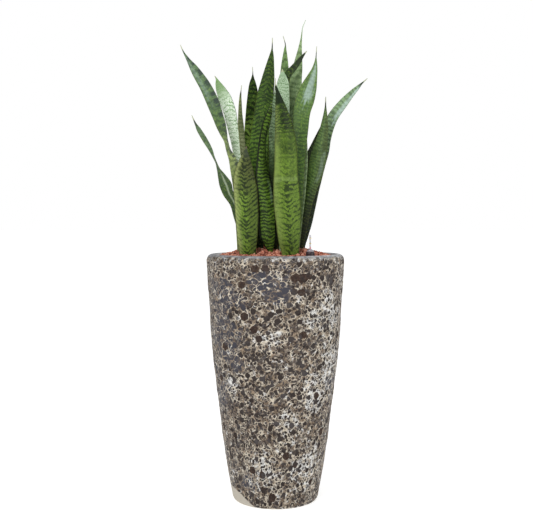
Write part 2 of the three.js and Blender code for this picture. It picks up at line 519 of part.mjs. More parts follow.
function lump(x, y, size, turn, grow = 0) {
  const geometry = new THREE.IcosahedronGeometry(size / 2 + grow, 1);
  for (const name of ["normal", "uv"]) geometry.deleteAttribute(name);
  const merged = BufferGeometryUtils.mergeVertices(geometry, MERGE_DISTANCE);
  const places = merged.attributes.position;
  for (let i = 0; i < places.count; i++) {
    const wobble = 1 + LUMP_WOBBLE * Math.sin(5 * i + turn) * Math.cos(3 * i);
    const corner = new THREE.Vector3().fromBufferAttribute(places, i).multiplyScalar(wobble);
    places.setXYZ(i, ...corner.multiply(new THREE.Vector3(...LUMP_SHAPE)).toArray());
  }
  merged.rotateZ(THREE.MathUtils.degToRad(turn));
  merged.translate(x, y, granuleHeight(x, y) + LUMP_RISE * size);
  return merged;
}

LUMPS.forEach(([x, y, size, turn], i) => {
  let stone = toSolid(lump(x, y, size, turn));
  for (const leaf of LEAVES) stone = stone.subtract(toSolid(skin(leafRings(leaf, GAP))));
  add(`clay_lump_${i + 1}`, toGeometry(largest(stone.decompose())), FINISHES.granule);
  bed = bed.subtract(toSolid(lump(x, y, size, turn, GAP)));
});

add("granule_bed", toGeometry(largest(bed.decompose())), FINISHES.granule);

export default plant;
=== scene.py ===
# %% [markdown]
# # A potted Ceylon bowstring hemp
# The plant is a tuft of stiff, sword-shaped leaves that rise from creeping stems. It stands in fired-clay
# granules, in a tall tapered planter with a cratered lava glaze, and a water gauge is pushed in beside it.
# The solid model gives each piece its place and size. Here every piece that shows gets a fine surface of
# that size, and a finish that is worked out by nodes.

# %% Load the solid model and keep its size
import json
import math

import bpy
import numpy as np
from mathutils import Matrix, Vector


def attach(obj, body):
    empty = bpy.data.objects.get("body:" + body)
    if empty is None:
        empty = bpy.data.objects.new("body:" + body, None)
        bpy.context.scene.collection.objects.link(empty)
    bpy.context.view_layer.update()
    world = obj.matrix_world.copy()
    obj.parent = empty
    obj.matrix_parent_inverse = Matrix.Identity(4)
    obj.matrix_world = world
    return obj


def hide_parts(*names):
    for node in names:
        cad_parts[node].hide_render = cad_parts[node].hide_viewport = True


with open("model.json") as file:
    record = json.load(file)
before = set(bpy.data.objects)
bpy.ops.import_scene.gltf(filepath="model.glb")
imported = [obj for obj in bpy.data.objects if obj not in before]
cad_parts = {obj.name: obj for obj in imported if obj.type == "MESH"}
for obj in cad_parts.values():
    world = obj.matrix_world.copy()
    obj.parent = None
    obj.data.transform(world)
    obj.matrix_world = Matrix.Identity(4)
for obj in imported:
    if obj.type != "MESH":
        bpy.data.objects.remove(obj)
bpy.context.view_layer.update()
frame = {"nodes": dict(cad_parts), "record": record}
MM = 0.001

# %% [markdown]
# ## The view
# A photograph of a tall pot is taken from some way off with a longer lens, so that its sides stay straight.
# The camera stands 2.4 m away, a little above the rim, and looks at the middle of the whole object.

# %% Camera and studio light
scene = bpy.context.scene
VIEW_POINT = Vector((0, -2.400, 0.756))
VIEW_AIM = Vector((-0.024, 0, 0.6576))
LAMP_AIM = Vector((0, 0, 0.7))


def place(name, data, location=(0, 0, 0)):
    """Puts new data into the scene as an object."""
    thing = bpy.data.objects.new(name, data)
    thing.location = location
    scene.collection.objects.link(thing)
    return thing


lens = bpy.data.cameras.new("camera")
lens.lens, lens.sensor_width = 60, 36
camera = place("camera", lens, VIEW_POINT)
camera.rotation_euler = (VIEW_AIM - VIEW_POINT).to_track_quat("-Z", "Y").to_euler()
scene.camera = camera


def softbox(name, location, size, power):
    """A square lamp that points at the middle of the object. Its size is in metres, its power in watts."""
    lamp = bpy.data.lights.new(name, "AREA")
    lamp.size, lamp.energy = size, power
    box = place(name, lamp, location)
    box.rotation_euler = (LAMP_AIM - Vector(location)).to_track_quat("-Z", "Y").to_euler()


softbox("key light", (-1.1, -2.5, 2.7), 1.3, 56)
softbox("fill light", (2.4, -1.6, 1.3), 1.6, 17)
softbox("back light", (0.9, 2.2, 2.4), 1.6, 24)
scene.view_settings.view_transform = "Standard"
print("camera to middle, m", round((VIEW_AIM - VIEW_POINT).length, 3))

# %% [markdown]
# ## Writing a finish as sums
# A finish is a tree of nodes, but it is easier to read as arithmetic. A `Wire` is one output of a node, and
# a sum of wires adds the Math nodes that it needs. `Finish.node` adds any other node.

# %% Wires and finishes
class Wire:
    """One output of a node, which arithmetic turns into further Math nodes."""

    def __init__(self, finish, socket):
        self.finish, self.socket = finish, socket

    def maths(self, operation, *others):
        values = dict(enumerate((self, *others)))
        return self.finish.node("ShaderNodeMath", {"operation": operation}, values)

    def __add__(self, other):
        return self.maths("ADD", other)

    def __sub__(self, other):
        return self.maths("SUBTRACT", other)

    def __mul__(self, other):
        return self.maths("MULTIPLY", other)

    def __rsub__(self, other):
        return self * -1 + other

    def __truediv__(self, other):
        return self.maths("DIVIDE", other)

    def __abs__(self):
        return self.maths("ABSOLUTE")

    __radd__, __rmul__ = __add__, __mul__

    def fraction(self):
        return self.maths("FRACT")

    def either(self, other):
        return self.maths("MAXIMUM", other)


def tone(red, green, blue):
    """A colour as read on a screen, 0 to 255, as the shader wants it."""
    levels = [c / 255 for c in (red, green, blue)]
    return (*[c / 12.92 if c <= 0.04045 else ((c + 0.055) / 1.055) ** 2.4 for c in levels], 1)


class Finish:
    """A material whose Principled shader is fed by wires."""

    def __init__(self, name, **settings):
        self.material = bpy.data.materials.new(name)
        self.material.use_nodes = True
        self.tree = self.material.node_tree
        self.shader = self.tree.nodes["Principled BSDF"]
        for socket, value in settings.items():
            self.shader.inputs[socket.replace("_", " ")].default_value = value

    def node(self, kind, settings, inputs, output=0):
        """Adds a node, makes its settings, then fills its sockets with values or wires."""
        made = self.tree.nodes.new(kind)
        for key, value in settings.items():
            if key == "stops":
                while len(made.color_ramp.elements) < len(value):
                    made.color_ramp.elements.new(0.5)
                for stop, (position, colour) in zip(made.color_ramp.elements, value):
                    stop.position, stop.color = position, colour
            else:
                setattr(made, key, value)
        for key, value in inputs.items():
            if isinstance(value, Wire):
                self.tree.links.new(value.socket, made.inputs[key])
            else:
                made.inputs[key].default_value = value
        return Wire(self, made.outputs[output])

    def parts(self, vector):
        """The three numbers of a vector."""
        first = self.node("ShaderNodeSeparateXYZ", {}, {0: vector})
        return [Wire(self, out) for out in first.socket.node.outputs]

    def point(self, x, y, z=0.0):
        return self.node("ShaderNodeCombineXYZ", {}, {0: x, 1: y, 2: z})

    def stored(self, name, output="Vector"):
        """What the mesh keeps at each vertex under that name."""
        return self.node("ShaderNodeAttribute", {"attribute_name": name}, {}, output)

    def body_place(self):
        return self.node("ShaderNodeTexCoord", {}, {}, "Object")

    def noise(self, place, scale, detail, output=0):
        """Cloudy noise, about 0.2 to 0.8, with spots that are about 1 / scale wide."""
        inputs = {"Vector": place, "Scale": scale, "Detail": detail}
        return self.node("ShaderNodeTexNoise", {}, inputs, output)

    def line_noise(self, value):
        """The same along a line, where one number says how far along it is."""
        inputs = {"W": value, "Scale": 1.0, "Detail": 1.0}
        return self.node("ShaderNodeTexNoise", {"noise_dimensions": "1D"}, inputs)

    def cells(self, place, scale, feature="F1"):
        inputs = {"Vector": place, "Scale": scale}
        return self.node("ShaderNodeTexVoronoi", {"feature": feature}, inputs, "Distance")

    def step(self, value, low, high):
        """0 below low and 1 above high, with a smooth rise between. It falls where low is the larger."""
        settings = {"interpolation_type": "SMOOTHSTEP"}
        return self.node("ShaderNodeMapRange", settings, {0: value, 1: low, 2: high, 3: 0.0, 4: 1.0})

    def mix(self, factor, first, second):
        """The first colour where the factor is 0, the second where it is 1."""
        return self.node("ShaderNodeMix", {"data_type": "RGBA"}, {0: factor, 6: first, 7: second}, 2)

    def feed(self, **wires):
        """Links wires to the shader's own sockets."""
        for socket, wire in wires.items():
            self.tree.links.new(wire.socket, self.shader.inputs[socket.replace("_", " ")])

    def bump(self, height, distance, strength):
        inputs = {"Height": height, "Distance": distance, "Strength": strength}
        self.feed(Normal=self.node("ShaderNodeBump", {}, inputs, "Normal"))


print("finishes are ready")

# %% [markdown]
# ## Meshes from rings
# Nearly every piece here is a row of rings: a turned pot, a leaf, a tube. One function joins such rings to
# a closed mesh, and stores the numbers that its finish needs at each vertex.

# %% Rings to a mesh
def ringed(name, rings, stored=None, joined=False):
    """A closed mesh over rings: rows by points by 3, in metres. If joined, the last row meets the first."""
    rings = np.asarray(rings, float)
    rows, sides = rings.shape[:2]
    index = np.arange(rows * sides).reshape(rows, sides)
    nearer = index if joined else index[:-1]
    farther = np.roll(index, -1, 0) if joined else index[1:]
    quads = np.stack([nearer, np.roll(nearer, -1, 1), np.roll(farther, -1, 1), farther], -1).reshape(-1, 4)
    faces = quads.tolist()
    if not joined:
        faces += [index[0, ::-1].tolist(), index[-1].tolist()]
    mesh = bpy.data.meshes.new(name)
    mesh.from_pydata(rings.reshape(-1, 3), [], faces)
    for key, values in (stored or {}).items():
        flat = np.asarray(values, np.float32).ravel()
        kind = "FLOAT_VECTOR" if flat.size == rings.size else "FLOAT"
        layer = mesh.attributes.new(key, kind, "POINT")
        layer.data.foreach_set("vector" if kind == "FLOAT_VECTOR" else "value", flat)
    mesh.shade_smooth()
    return place(name, mesh)


def show(piece, finish, body, slot, *nodes):
    """Gives a piece its finish, and puts it in place of the solid model's nodes."""
    piece.data.materials.clear()
    piece.data.materials.append(finish.material)
    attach(piece, body)
    if nodes:
        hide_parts(*nodes)
    return piece


def flowing(at, knots, values):
    """Values between knots on a smooth curve that never overshoots them."""
    knots, values = np.asarray(knots, float), np.asarray(values, float)
    gap = np.diff(knots)
    rise = np.diff(values) / gap
    slope = np.zeros(len(knots))
    same = rise[1:] * rise[:-1] > 0
    inner = np.zeros(len(rise) - 1)
    inner[same] = 2 * rise[1:][same] * rise[:-1][same] / (rise[1:] + rise[:-1])[same]
    slope[1:-1], slope[0], slope[-1] = inner, rise[0], rise[-1]
    k = np.clip(np.searchsorted(knots, at, "right") - 1, 0, len(gap) - 1)
    t = (at - knots[k]) / gap[k]
    curve = values[k] * (1 + 2 * t) * (1 - t) ** 2 + values[k + 1] * t * t * (3 - 2 * t)
    return curve + gap[k] * t * (1 - t) * (slope[k] * (1 - t) - slope[k + 1] * t)


print("meshes are ready")
# %% [markdown]
# ## The planter's craters
# A lava glaze foams in the kiln. Its bubbles burst into flat, dark craters with pale lips between them,
# from pinholes up to hollows as wide as a thumb. The craters are real dents in the mesh, so that they catch
# light and notch the outline. Each vertex also stores how far it is from the nearest crater's edge. The
# finish draws its edges from that distance, which stays sharp between vertices.

# %% The planter's outline and its craters
POT_HEIGHT = 664 * MM
POT_SIDES, POT_ROWS = 384, 232
RIM_RADIUS, RIM_ROUNDING = 185 * MM, 15 * MM
FOOT_ROUNDING = 7.5 * MM
NECK_RADIUS = RIM_RADIUS - 2 * RIM_ROUNDING
WALL = 14 * MM
POT_FLOOR = 30 * MM
RIM_BAND = 659 * MM             # the glaze is smooth above this height
OUTLINE_HEIGHTS = np.array([0, 0.18, 0.40, 0.62, 0.80, 0.955, 1]) * POT_HEIGHT
OUTLINE_RADII = np.array([114.2, 135.4, 153.9, 171.0, 178.4, 184.6, 185.2]) * MM
chance = np.random.default_rng(8)


def pot_radius(height):
    return flowing(height, OUTLINE_HEIGHTS, OUTLINE_RADII)


# The largest craters on the front, as (height, azimuth in degrees, radius), lengths in millimetres
LARGE_CRATERS = [
    (633, -16, 10), (616, -10, 8), (618, -21, 5), (610, 16, 11), (608, 22, 12), (613, 27, 9), (644, 19, 7),
    (578, 8, 9), (575, 15, 9), (591, -28, 10), (500, 2, 8), (478, -18, 10), (455, -14, 9), (470, -6, 6),
    (211, -19, 6), (163, 9, 7), (96, 15, 7), (72, 9, 7), (122, 22, 9), (114, 17, 8), (47, 24, 7), (47, 36, 7),
    (54, -15, 9), (34, -4, 13),
]
CRATER_SIZES = [(8.5, 12, 60), (6, 8, 260), (4, 5.5, 900), (2.8, 3.7, 2200)]   # radii from, to, and how many
CRATER_HEIGHTS = (8 * MM, RIM_BAND - 4 * MM)
SPACING = 0.92                  # two craters' centres are at least this share of their summed radii apart
TRIES = 12                      # tries for each crater's place

# Where the glaze ran smooth and bluish, and where it is whitest: (azimuth, height, reach), in degrees and mm
SMOOTH_PLACES = [(-6, 600, 42), (2, 570, 30), (-48, 560, 50), (-55, 450, 60), (-40, 395, 30), (-62, 300, 40),
                 (-35, 70, 30), (70, 330, 30), (150, 480, 60), (-130, 240, 70), (115, 120, 50)]
WHITE_PLACES = [(50, 520, 60), (62, 380, 60), (40, 300, 45), (38, 110, 60), (-14, 110, 50), (-5, 455, 26),
                (12, 225, 30), (-44, 330, 30), (-150, 560, 70), (100, 620, 60), (-100, 100, 80),
                (170, 200, 80)]


def scatter_craters():
    """Craters on the unrolled pot as (distance round, height, radius) in metres, large ones first."""
    mean = float(OUTLINE_RADII.mean())
    found = [(math.radians(turn) * mean, height * MM, radius * MM) for height, turn, radius in LARGE_CRATERS]
    around = 2 * math.pi * mean
    lowest, highest = CRATER_HEIGHTS
    for smallest, largest, count in CRATER_SIZES:
        for _ in range(count):
            radius = chance.uniform(smallest, largest) * MM
            for _ in range(TRIES):
                spot = chance.uniform((-around / 2, lowest), (around / 2, highest))
                others = np.array(found)
                aside = np.abs(others[:, 0] - spot[0])
                aside = np.minimum(aside, around - aside)
                if (np.hypot(aside, others[:, 1] - spot[1]) > SPACING * (others[:, 2] + radius)).all():
                    found.append((*spot, radius))
                    break
    return np.array(found), around


craters, pot_around = scatter_craters()
print("craters", len(craters))

# %% The pot's surface, unrolled
ROW_SPREAD = 0.98               # under 1, the rows are a little closer together towards the rim
between_roundings = POT_HEIGHT - RIM_ROUNDING - FOOT_ROUNDING
heights = np.linspace(0, 1, POT_ROWS) ** ROW_SPREAD * between_roundings + FOOT_ROUNDING
turns = np.arange(POT_SIDES) * 2 * math.pi / POT_SIDES
turn_grid, height_grid = np.meshgrid(turns, heights)
# The distance round the pot is 0 at its front, which is at -90 degrees
unrolled = ((turn_grid + math.pi / 2 + math.pi) % (2 * math.pi) - math.pi) * pot_around / (2 * math.pi)
WAVES = 9
WANDER, WANDER_SIZE = 1.3 * MM, 11 * MM         # how far the craters' edges wander from a circle
EDGE_REACH = 9 * MM             # beyond this distance a crater's edge no longer counts
FAR = 1.0                       # stands for a place without a crater near it


def ripple(x, y, size, seed):
    """Smooth unevenness between about -1 and 1, with bumps of that size, which meets itself round the pot."""
    waves = np.random.default_rng(seed)
    total = np.zeros_like(x)
    for _ in range(WAVES):
        bearing = waves.uniform(0, 2 * math.pi)
        turns_round = round(math.cos(bearing) * pot_around / size)
        rise = math.sin(bearing) * 2 * math.pi / size
        total += np.sin(turns_round * 2 * math.pi * x / pot_around + rise * y + waves.uniform(0, 2 * math.pi))
    return total / math.sqrt(WAVES)


def edge_distance(x, y):
    """How far each place is outside the nearest crater's edge, how large that crater is, and its shade."""
    nearest, size, shade = np.full(x.shape, FAR), np.zeros(x.shape), np.zeros(x.shape)
    wander_x = x + WANDER * ripple(x, y, WANDER_SIZE, 3)
    wander_y = y + WANDER * ripple(x, y, WANDER_SIZE, 4)
    for around, height, radius in craters:
        rows = np.flatnonzero(np.abs(heights - height) < radius + EDGE_REACH)
        if not len(rows):
            continue
        part = slice(rows[0], rows[-1] + 1)
        aside = np.abs(wander_x[part] - around)
        aside = np.minimum(aside, pot_around - aside)
        gap = np.hypot(aside, wander_y[part] - height) - radius
        closer = gap < nearest[part]
        nearest[part] = np.where(closer, gap, nearest[part])
        size[part] = np.where(closer, radius, size[part])
        shade[part] = np.where(closer, chance.uniform(), shade[part])
    return nearest, size, shade


def patches(places, seed):
    """How much of a patchy quality each place has, from 0 to 1, most of it at the places listed."""
    broad = ripple(unrolled, height_grid, 70 * MM, seed)
    small = ripple(unrolled, height_grid, 24 * MM, seed + 1)
    total = 0.22 * broad + 0.12 * small
    for azimuth, height, reach in places:
        aside = np.abs(unrolled - math.radians(azimuth) * pot_around / (2 * math.pi))
        aside = np.minimum(aside, pot_around - aside)
        total += np.exp(-(aside ** 2 + (height_grid - height * MM) ** 2) / (reach * MM) ** 2)
    return np.clip(total, 0, 1)


smooth_share, white_share = patches(SMOOTH_PLACES, 11), patches(WHITE_PLACES, 13)
gap_grid, size_grid, shade_grid = edge_distance(unrolled, height_grid)
print("share that ran smooth", round(float(smooth_share.mean()), 2))

# %% Dents in the pot's outside
DENT_DEPTH, DENT_SHARE = 0.5 * MM, 0.19         # a crater's depth: so much, and that share of its radius
DENT_SLOPE = 2.2 * MM           # how far inside its edge a crater reaches its floor
LIP_HEIGHT, LIP_PLACE, LIP_WIDTH = 0.45 * MM, 1 * MM, 1.5 * MM
RIM_SMOOTHING = 9 * MM          # the dents fade out over this height under the smooth rim
BULGES = [(0.5 * MM, 55 * MM, 5), (0.22 * MM, 14 * MM, 6)]      # unevenness as (height, size, seed)
floor_of = np.clip(-gap_grid / DENT_SLOPE, 0, 1)
depth = (DENT_DEPTH + DENT_SHARE * size_grid) * (1 - 0.5 * smooth_share)
dent = -depth * floor_of * floor_of * (3 - 2 * floor_of)
lip = LIP_HEIGHT * np.exp(-((gap_grid - LIP_PLACE) / LIP_WIDTH) ** 2)
smooth_rim = np.clip((RIM_BAND - height_grid) / RIM_SMOOTHING, 0, 1)
uneven = sum(height * ripple(unrolled, height_grid, size, seed) for height, size, seed in BULGES)
outside_radius = pot_radius(height_grid) + (dent + lip) * smooth_rim + uneven * (0.35 + 0.65 * smooth_rim)
in_craters = float((gap_grid < 0).mean())
print("deepest dent, mm", round(float(-dent.min() / MM), 2), "share in craters", round(in_craters, 2))

# %% The planter's closed surface
HUB = 2 * MM                    # the closed ends narrow to a disc of this radius


def arc(radius_at, height_at, rounding, start, end, steps):
    """Radii and heights along an arc about that place, from one angle in degrees to another."""
    angles = np.radians(np.linspace(start, end, steps))
    return radius_at + rounding * np.cos(angles), height_at + rounding * np.sin(angles)


def plain_rows(radii, levels, around):
    """Round rows without dents, with a point at each of the angles around."""
    return [np.stack([r * np.cos(around), r * np.sin(around), np.full(len(around), z)], -1)
            for r, z in zip(radii, levels)]


foot_radius = pot_radius(FOOT_ROUNDING) - FOOT_ROUNDING
foot_radii, foot_levels = arc(foot_radius, FOOT_ROUNDING, FOOT_ROUNDING, -90, -18, 4)
rim_radii, rim_levels = arc(RIM_RADIUS - RIM_ROUNDING, POT_HEIGHT - RIM_ROUNDING, RIM_ROUNDING, 14, 180, 13)
inner_levels = np.array([0.86, 0.55, 0.25, POT_FLOOR / POT_HEIGHT]) * POT_HEIGHT
inner_radii = pot_radius(inner_levels) - WALL
outside = np.stack([outside_radius * np.cos(turn_grid), outside_radius * np.sin(turn_grid), height_grid], -1)
under = plain_rows([HUB, *foot_radii], [0, *foot_levels], turns)
inside_rows = plain_rows([*rim_radii, *inner_radii, HUB], [*rim_levels, *inner_levels, POT_FLOOR], turns)


def whole_pot(grid, elsewhere):
    """Adds the rows of the foot, the rim and the inside, which all have one value."""
    before, after = (np.full((len(part), POT_SIDES), elsewhere) for part in (under, inside_rows))
    return np.vstack([before, grid, after])


stored_on_pot = {
    "crater_gap": whole_pot(gap_grid / MM, 20.0), "crater_size": whole_pot(size_grid / MM, 0.0),
    "crater_shade": whole_pot(shade_grid, 0.5), "smooth": whole_pot(smooth_share, 0.3),
    "white": whole_pot(white_share, 0.6),
}
planter = ringed("planter_glazed", under + list(outside) + inside_rows, stored_on_pot)
print("planter triangles", sum(len(face.vertices) - 2 for face in planter.data.polygons))

# %% [markdown]
# ## The lava glaze
# The glaze has four tones: dark crater floors, a cream web on the lips, bluish grey where it ran smooth,
# and nearly black pinholes. The stored distance draws the craters. Four sizes of cell pattern, from 17 down
# to 3 mm, draw the web between them, and two more draw the pinholes. Slow noise decides where the web is
# white, where it is tan and where it is missing. At the foot the glaze ends in a straight line, as a dipped
# glaze does, and the pale clay shows.

# %% The glaze's tones, and what its layers share
DIP_NORMAL = Vector((0.654, 0.192, 0.731))   # the glaze ends where this plane cuts the foot
DIP_DISTANCE = -52.8 * MM
FLOOR_BROWN, FLOOR_GREY = tone(48, 40, 37), tone(84, 80, 80)
FLOOR_BLUE, HOLLOW_BROWN = tone(62, 62, 70), tone(52, 36, 29)
WEB_BROWN, WEB_TAN = tone(104, 88, 75), tone(152, 134, 112)
WEB_CREAM, WEB_WHITE = tone(214, 203, 184), tone(228, 228, 226)
PINHOLE = tone(26, 20, 19)
RIM_LIGHT, RIM_GREY, RIM_DARK = tone(170, 171, 174), tone(122, 123, 128), tone(72, 69, 72)
CLAY_LIGHT, CLAY_DARK = tone(204, 199, 188), tone(172, 163, 148)
SWIRL = 3.5 * MM                # how far the cell patterns are pushed about


class GlazePlaces:
    """Places, noises and stored numbers that the glaze's layers share. The gap is in millimetres."""

    def __init__(self, f):
        self.here = f.body_place()
        self.height = f.parts(self.here)[2]
        self.grain, self.fleck = f.noise(self.here, 900, 2), f.noise(self.here, 420, 3)
        self.size, self.shade = f.stored("crater_size", "Fac"), f.stored("crater_shade", "Fac")
        self.smooth, self.white = f.stored("smooth", "Fac"), f.stored("white", "Fac")
        self.gap = f.stored("crater_gap", "Fac") + (f.noise(self.here, 330, 2) - 0.5) * 2.0
        self.inside = f.step(self.gap, 0.4, -0.5)
        sums = {0: f.noise(self.here, 120, 3, "Color"), 1: (SWIRL,) * 3, 2: self.here}
        self.pushed = f.node("ShaderNodeVectorMath", {"operation": "MULTIPLY_ADD"}, sums)


print("glaze tones are ready")

# %% The web between the craters
def lace(f, at, cell, line, patch_scale, low, high):
    """Pale lines between rounded cells, both sizes in millimetres, where a slower noise leaves them."""
    scale = 1000 / cell
    corner = f.step(f.cells(at.pushed, scale), 0.55, 0.95) * (cell * 0.08)
    edge = f.cells(at.pushed, scale, "DISTANCE_TO_EDGE") * cell - corner + (at.fleck - 0.5) * line
    kept = f.step(f.noise(at.here, patch_scale, 2) + at.white * 0.04, low, high)
    return f.step(edge, line * 0.75, line * 0.2) * kept


def glaze_web(f, at):
    """Where the glaze is pale, from 0 to 1, and the lips of the craters alone."""
    lips = f.step(at.gap, 2.1, 0.9) * (1 - at.inside)
    lips = lips * f.step(f.noise(at.here, 60, 2) + at.white * 0.1, 0.42, 0.56)
    web = lace(f, at, 9.5, 1.25, 52, 0.42, 0.52).either(lace(f, at, 5.4, 0.75, 47, 0.48, 0.58))
    web = web.either(lace(f, at, 2.8, 0.35, 33, 0.55, 0.63) * 0.5) * (1 - at.smooth * 0.7)
    web = lace(f, at, 17, 1.7, 40, 0.40, 0.50).either(web) * (1 - at.inside)
    return lips.either(web), lips


def web_colour(f, at, lips):
    """Brown, tan or cream, and white in places."""
    bright = f.step(f.noise(at.here, 75, 3) + at.white * 0.2 + lips * 0.14 - 0.12, 0.34, 0.62)
    tan = f.mix(f.step(f.noise(at.here, 130, 2), 0.4, 0.6), WEB_BROWN, WEB_TAN)
    whiter = at.white * 0.75 + (f.noise(at.here, 80, 3) - 0.5) * 3.2
    return f.mix(f.step(whiter, 0.32, 0.85) * 0.85, f.mix(bright, tan, WEB_CREAM), WEB_WHITE)


print("the web is ready")

# %% The dark ground and its pinholes
def ground_colour(f, at):
    """Crater floors, the smooth bluish glaze, and the large brown hollows."""
    between = f.mix(f.step(f.noise(at.here, 95, 3), 0.42, 0.66), FLOOR_BROWN, FLOOR_GREY)
    floors = f.mix(at.shade * at.shade * 0.7 + (at.fleck - 0.5) * 0.5, FLOOR_BROWN, FLOOR_GREY)
    ground = f.mix(at.inside, between, floors)
    smooth = f.step(at.smooth + (f.noise(at.here, 42, 3) - 0.5) * 0.9, 0.32, 0.6)
    ground = f.mix(smooth, ground, FLOOR_BLUE)
    hollow = f.mix(f.step(f.noise(at.here, 170, 3), 0.42, 0.66) * 0.35, HOLLOW_BROWN, WEB_BROWN)
    hollow = f.mix(f.step(at.gap, -3.0, -9.0) * 0.5, hollow, PINHOLE)
    large = f.step(at.size, 8.2, 9.5) * at.inside * f.step(f.noise(at.here, 30, 1), 0.40, 0.5)
    ground = f.mix(large, ground, hollow)
    return f.mix((at.grain - 0.5) * 0.4 + (at.fleck - 0.5) * 0.4, ground, WEB_BROWN)


def pinholes(f, at):
    small = f.step(f.cells(at.pushed, 210), 0.30, 0.17) * f.step(f.noise(at.here, 58, 2), 0.44, 0.52)
    large = f.step(f.cells(at.pushed, 118), 0.25, 0.16) * f.step(f.noise(at.here, 37, 2), 0.50, 0.56)
    return small.either(large) * (1 - at.smooth * 0.6)


print("ground and pinholes are ready")

# %% The smooth rim, the bare foot, and the whole glaze
def rim_band(f, at):
    """Where the rim's grey glaze is, and its colour."""
    level = at.height + (f.noise(at.here, 48, 3) - 0.5) * 0.014
    grey = f.mix(f.step(f.noise(at.here, 60, 3), 0.38, 0.62), RIM_GREY, RIM_LIGHT)
    grey = f.mix(f.step(f.noise(at.here, 110, 3), 0.56, 0.66) * 0.7, grey, RIM_DARK)
    return f.step(level, RIM_BAND - 3 * MM, RIM_BAND + 2 * MM), grey


def bare_foot(f, at):
    """Where the clay is bare: past the dip's edge, and on the ring that the pot stood on in the kiln."""
    past = f.node("ShaderNodeVectorMath", {"operation": "DOT_PRODUCT"}, {0: at.here, 1: DIP_NORMAL}, "Value")
    past = past + (f.noise(at.here, 120, 2) - 0.5) * 0.004
    bare = f.step(past, DIP_DISTANCE + 0.6 * MM, DIP_DISTANCE - 0.6 * MM)
    return bare.either(f.step(at.height, 2.2 * MM, 0.6 * MM))


def lava_glaze():
    f = Finish("lava glaze", Specular_IOR_Level=0.2)
    at = GlazePlaces(f)
    pale, lips = glaze_web(f, at)
    holes, bare = pinholes(f, at), bare_foot(f, at)
    colour = f.mix(pale * (at.fleck * 0.7 + 0.6), ground_colour(f, at), web_colour(f, at, lips))
    colour = f.mix(holes * 0.92, colour, PINHOLE)
    banded, rim_colour = rim_band(f, at)
    colour = f.mix(banded * 0.92, colour, rim_colour)
    colour = f.mix(bare, colour, f.mix(at.grain, CLAY_LIGHT, CLAY_DARK))
    f.feed(Base_Color=colour, Roughness=0.44 + at.inside * 0.12 + bare * 0.3 + (at.grain - 0.5) * 0.25)
    relief = pale * 0.8 - holes * 1.3 + at.grain * 0.3 - at.inside * 0.2
    f.bump(relief * (1 - bare * 0.85) * (1 - banded * 0.7), 0.9 * MM, 0.9)
    return f


show(planter, lava_glaze(), "plant", "lava_glaze", "planter")
print("planter finished")

# %% [markdown]
# ## The leaves
# Each leaf is a channelled blade: thick along its middle, thin at its margins, and drawn out to a hard awl
# at its tip. A leaf is described by stations from foot to tip. A station gives where the middle of the
# blade is seen from the front, how wide the blade is, how far it is turned and how far back it stands. The
# solid model has the same stations with coarse rings, but for a few millimetres on two leaves of the
# centre. Here the rings are about 3 mm apart, with smooth widths between them.

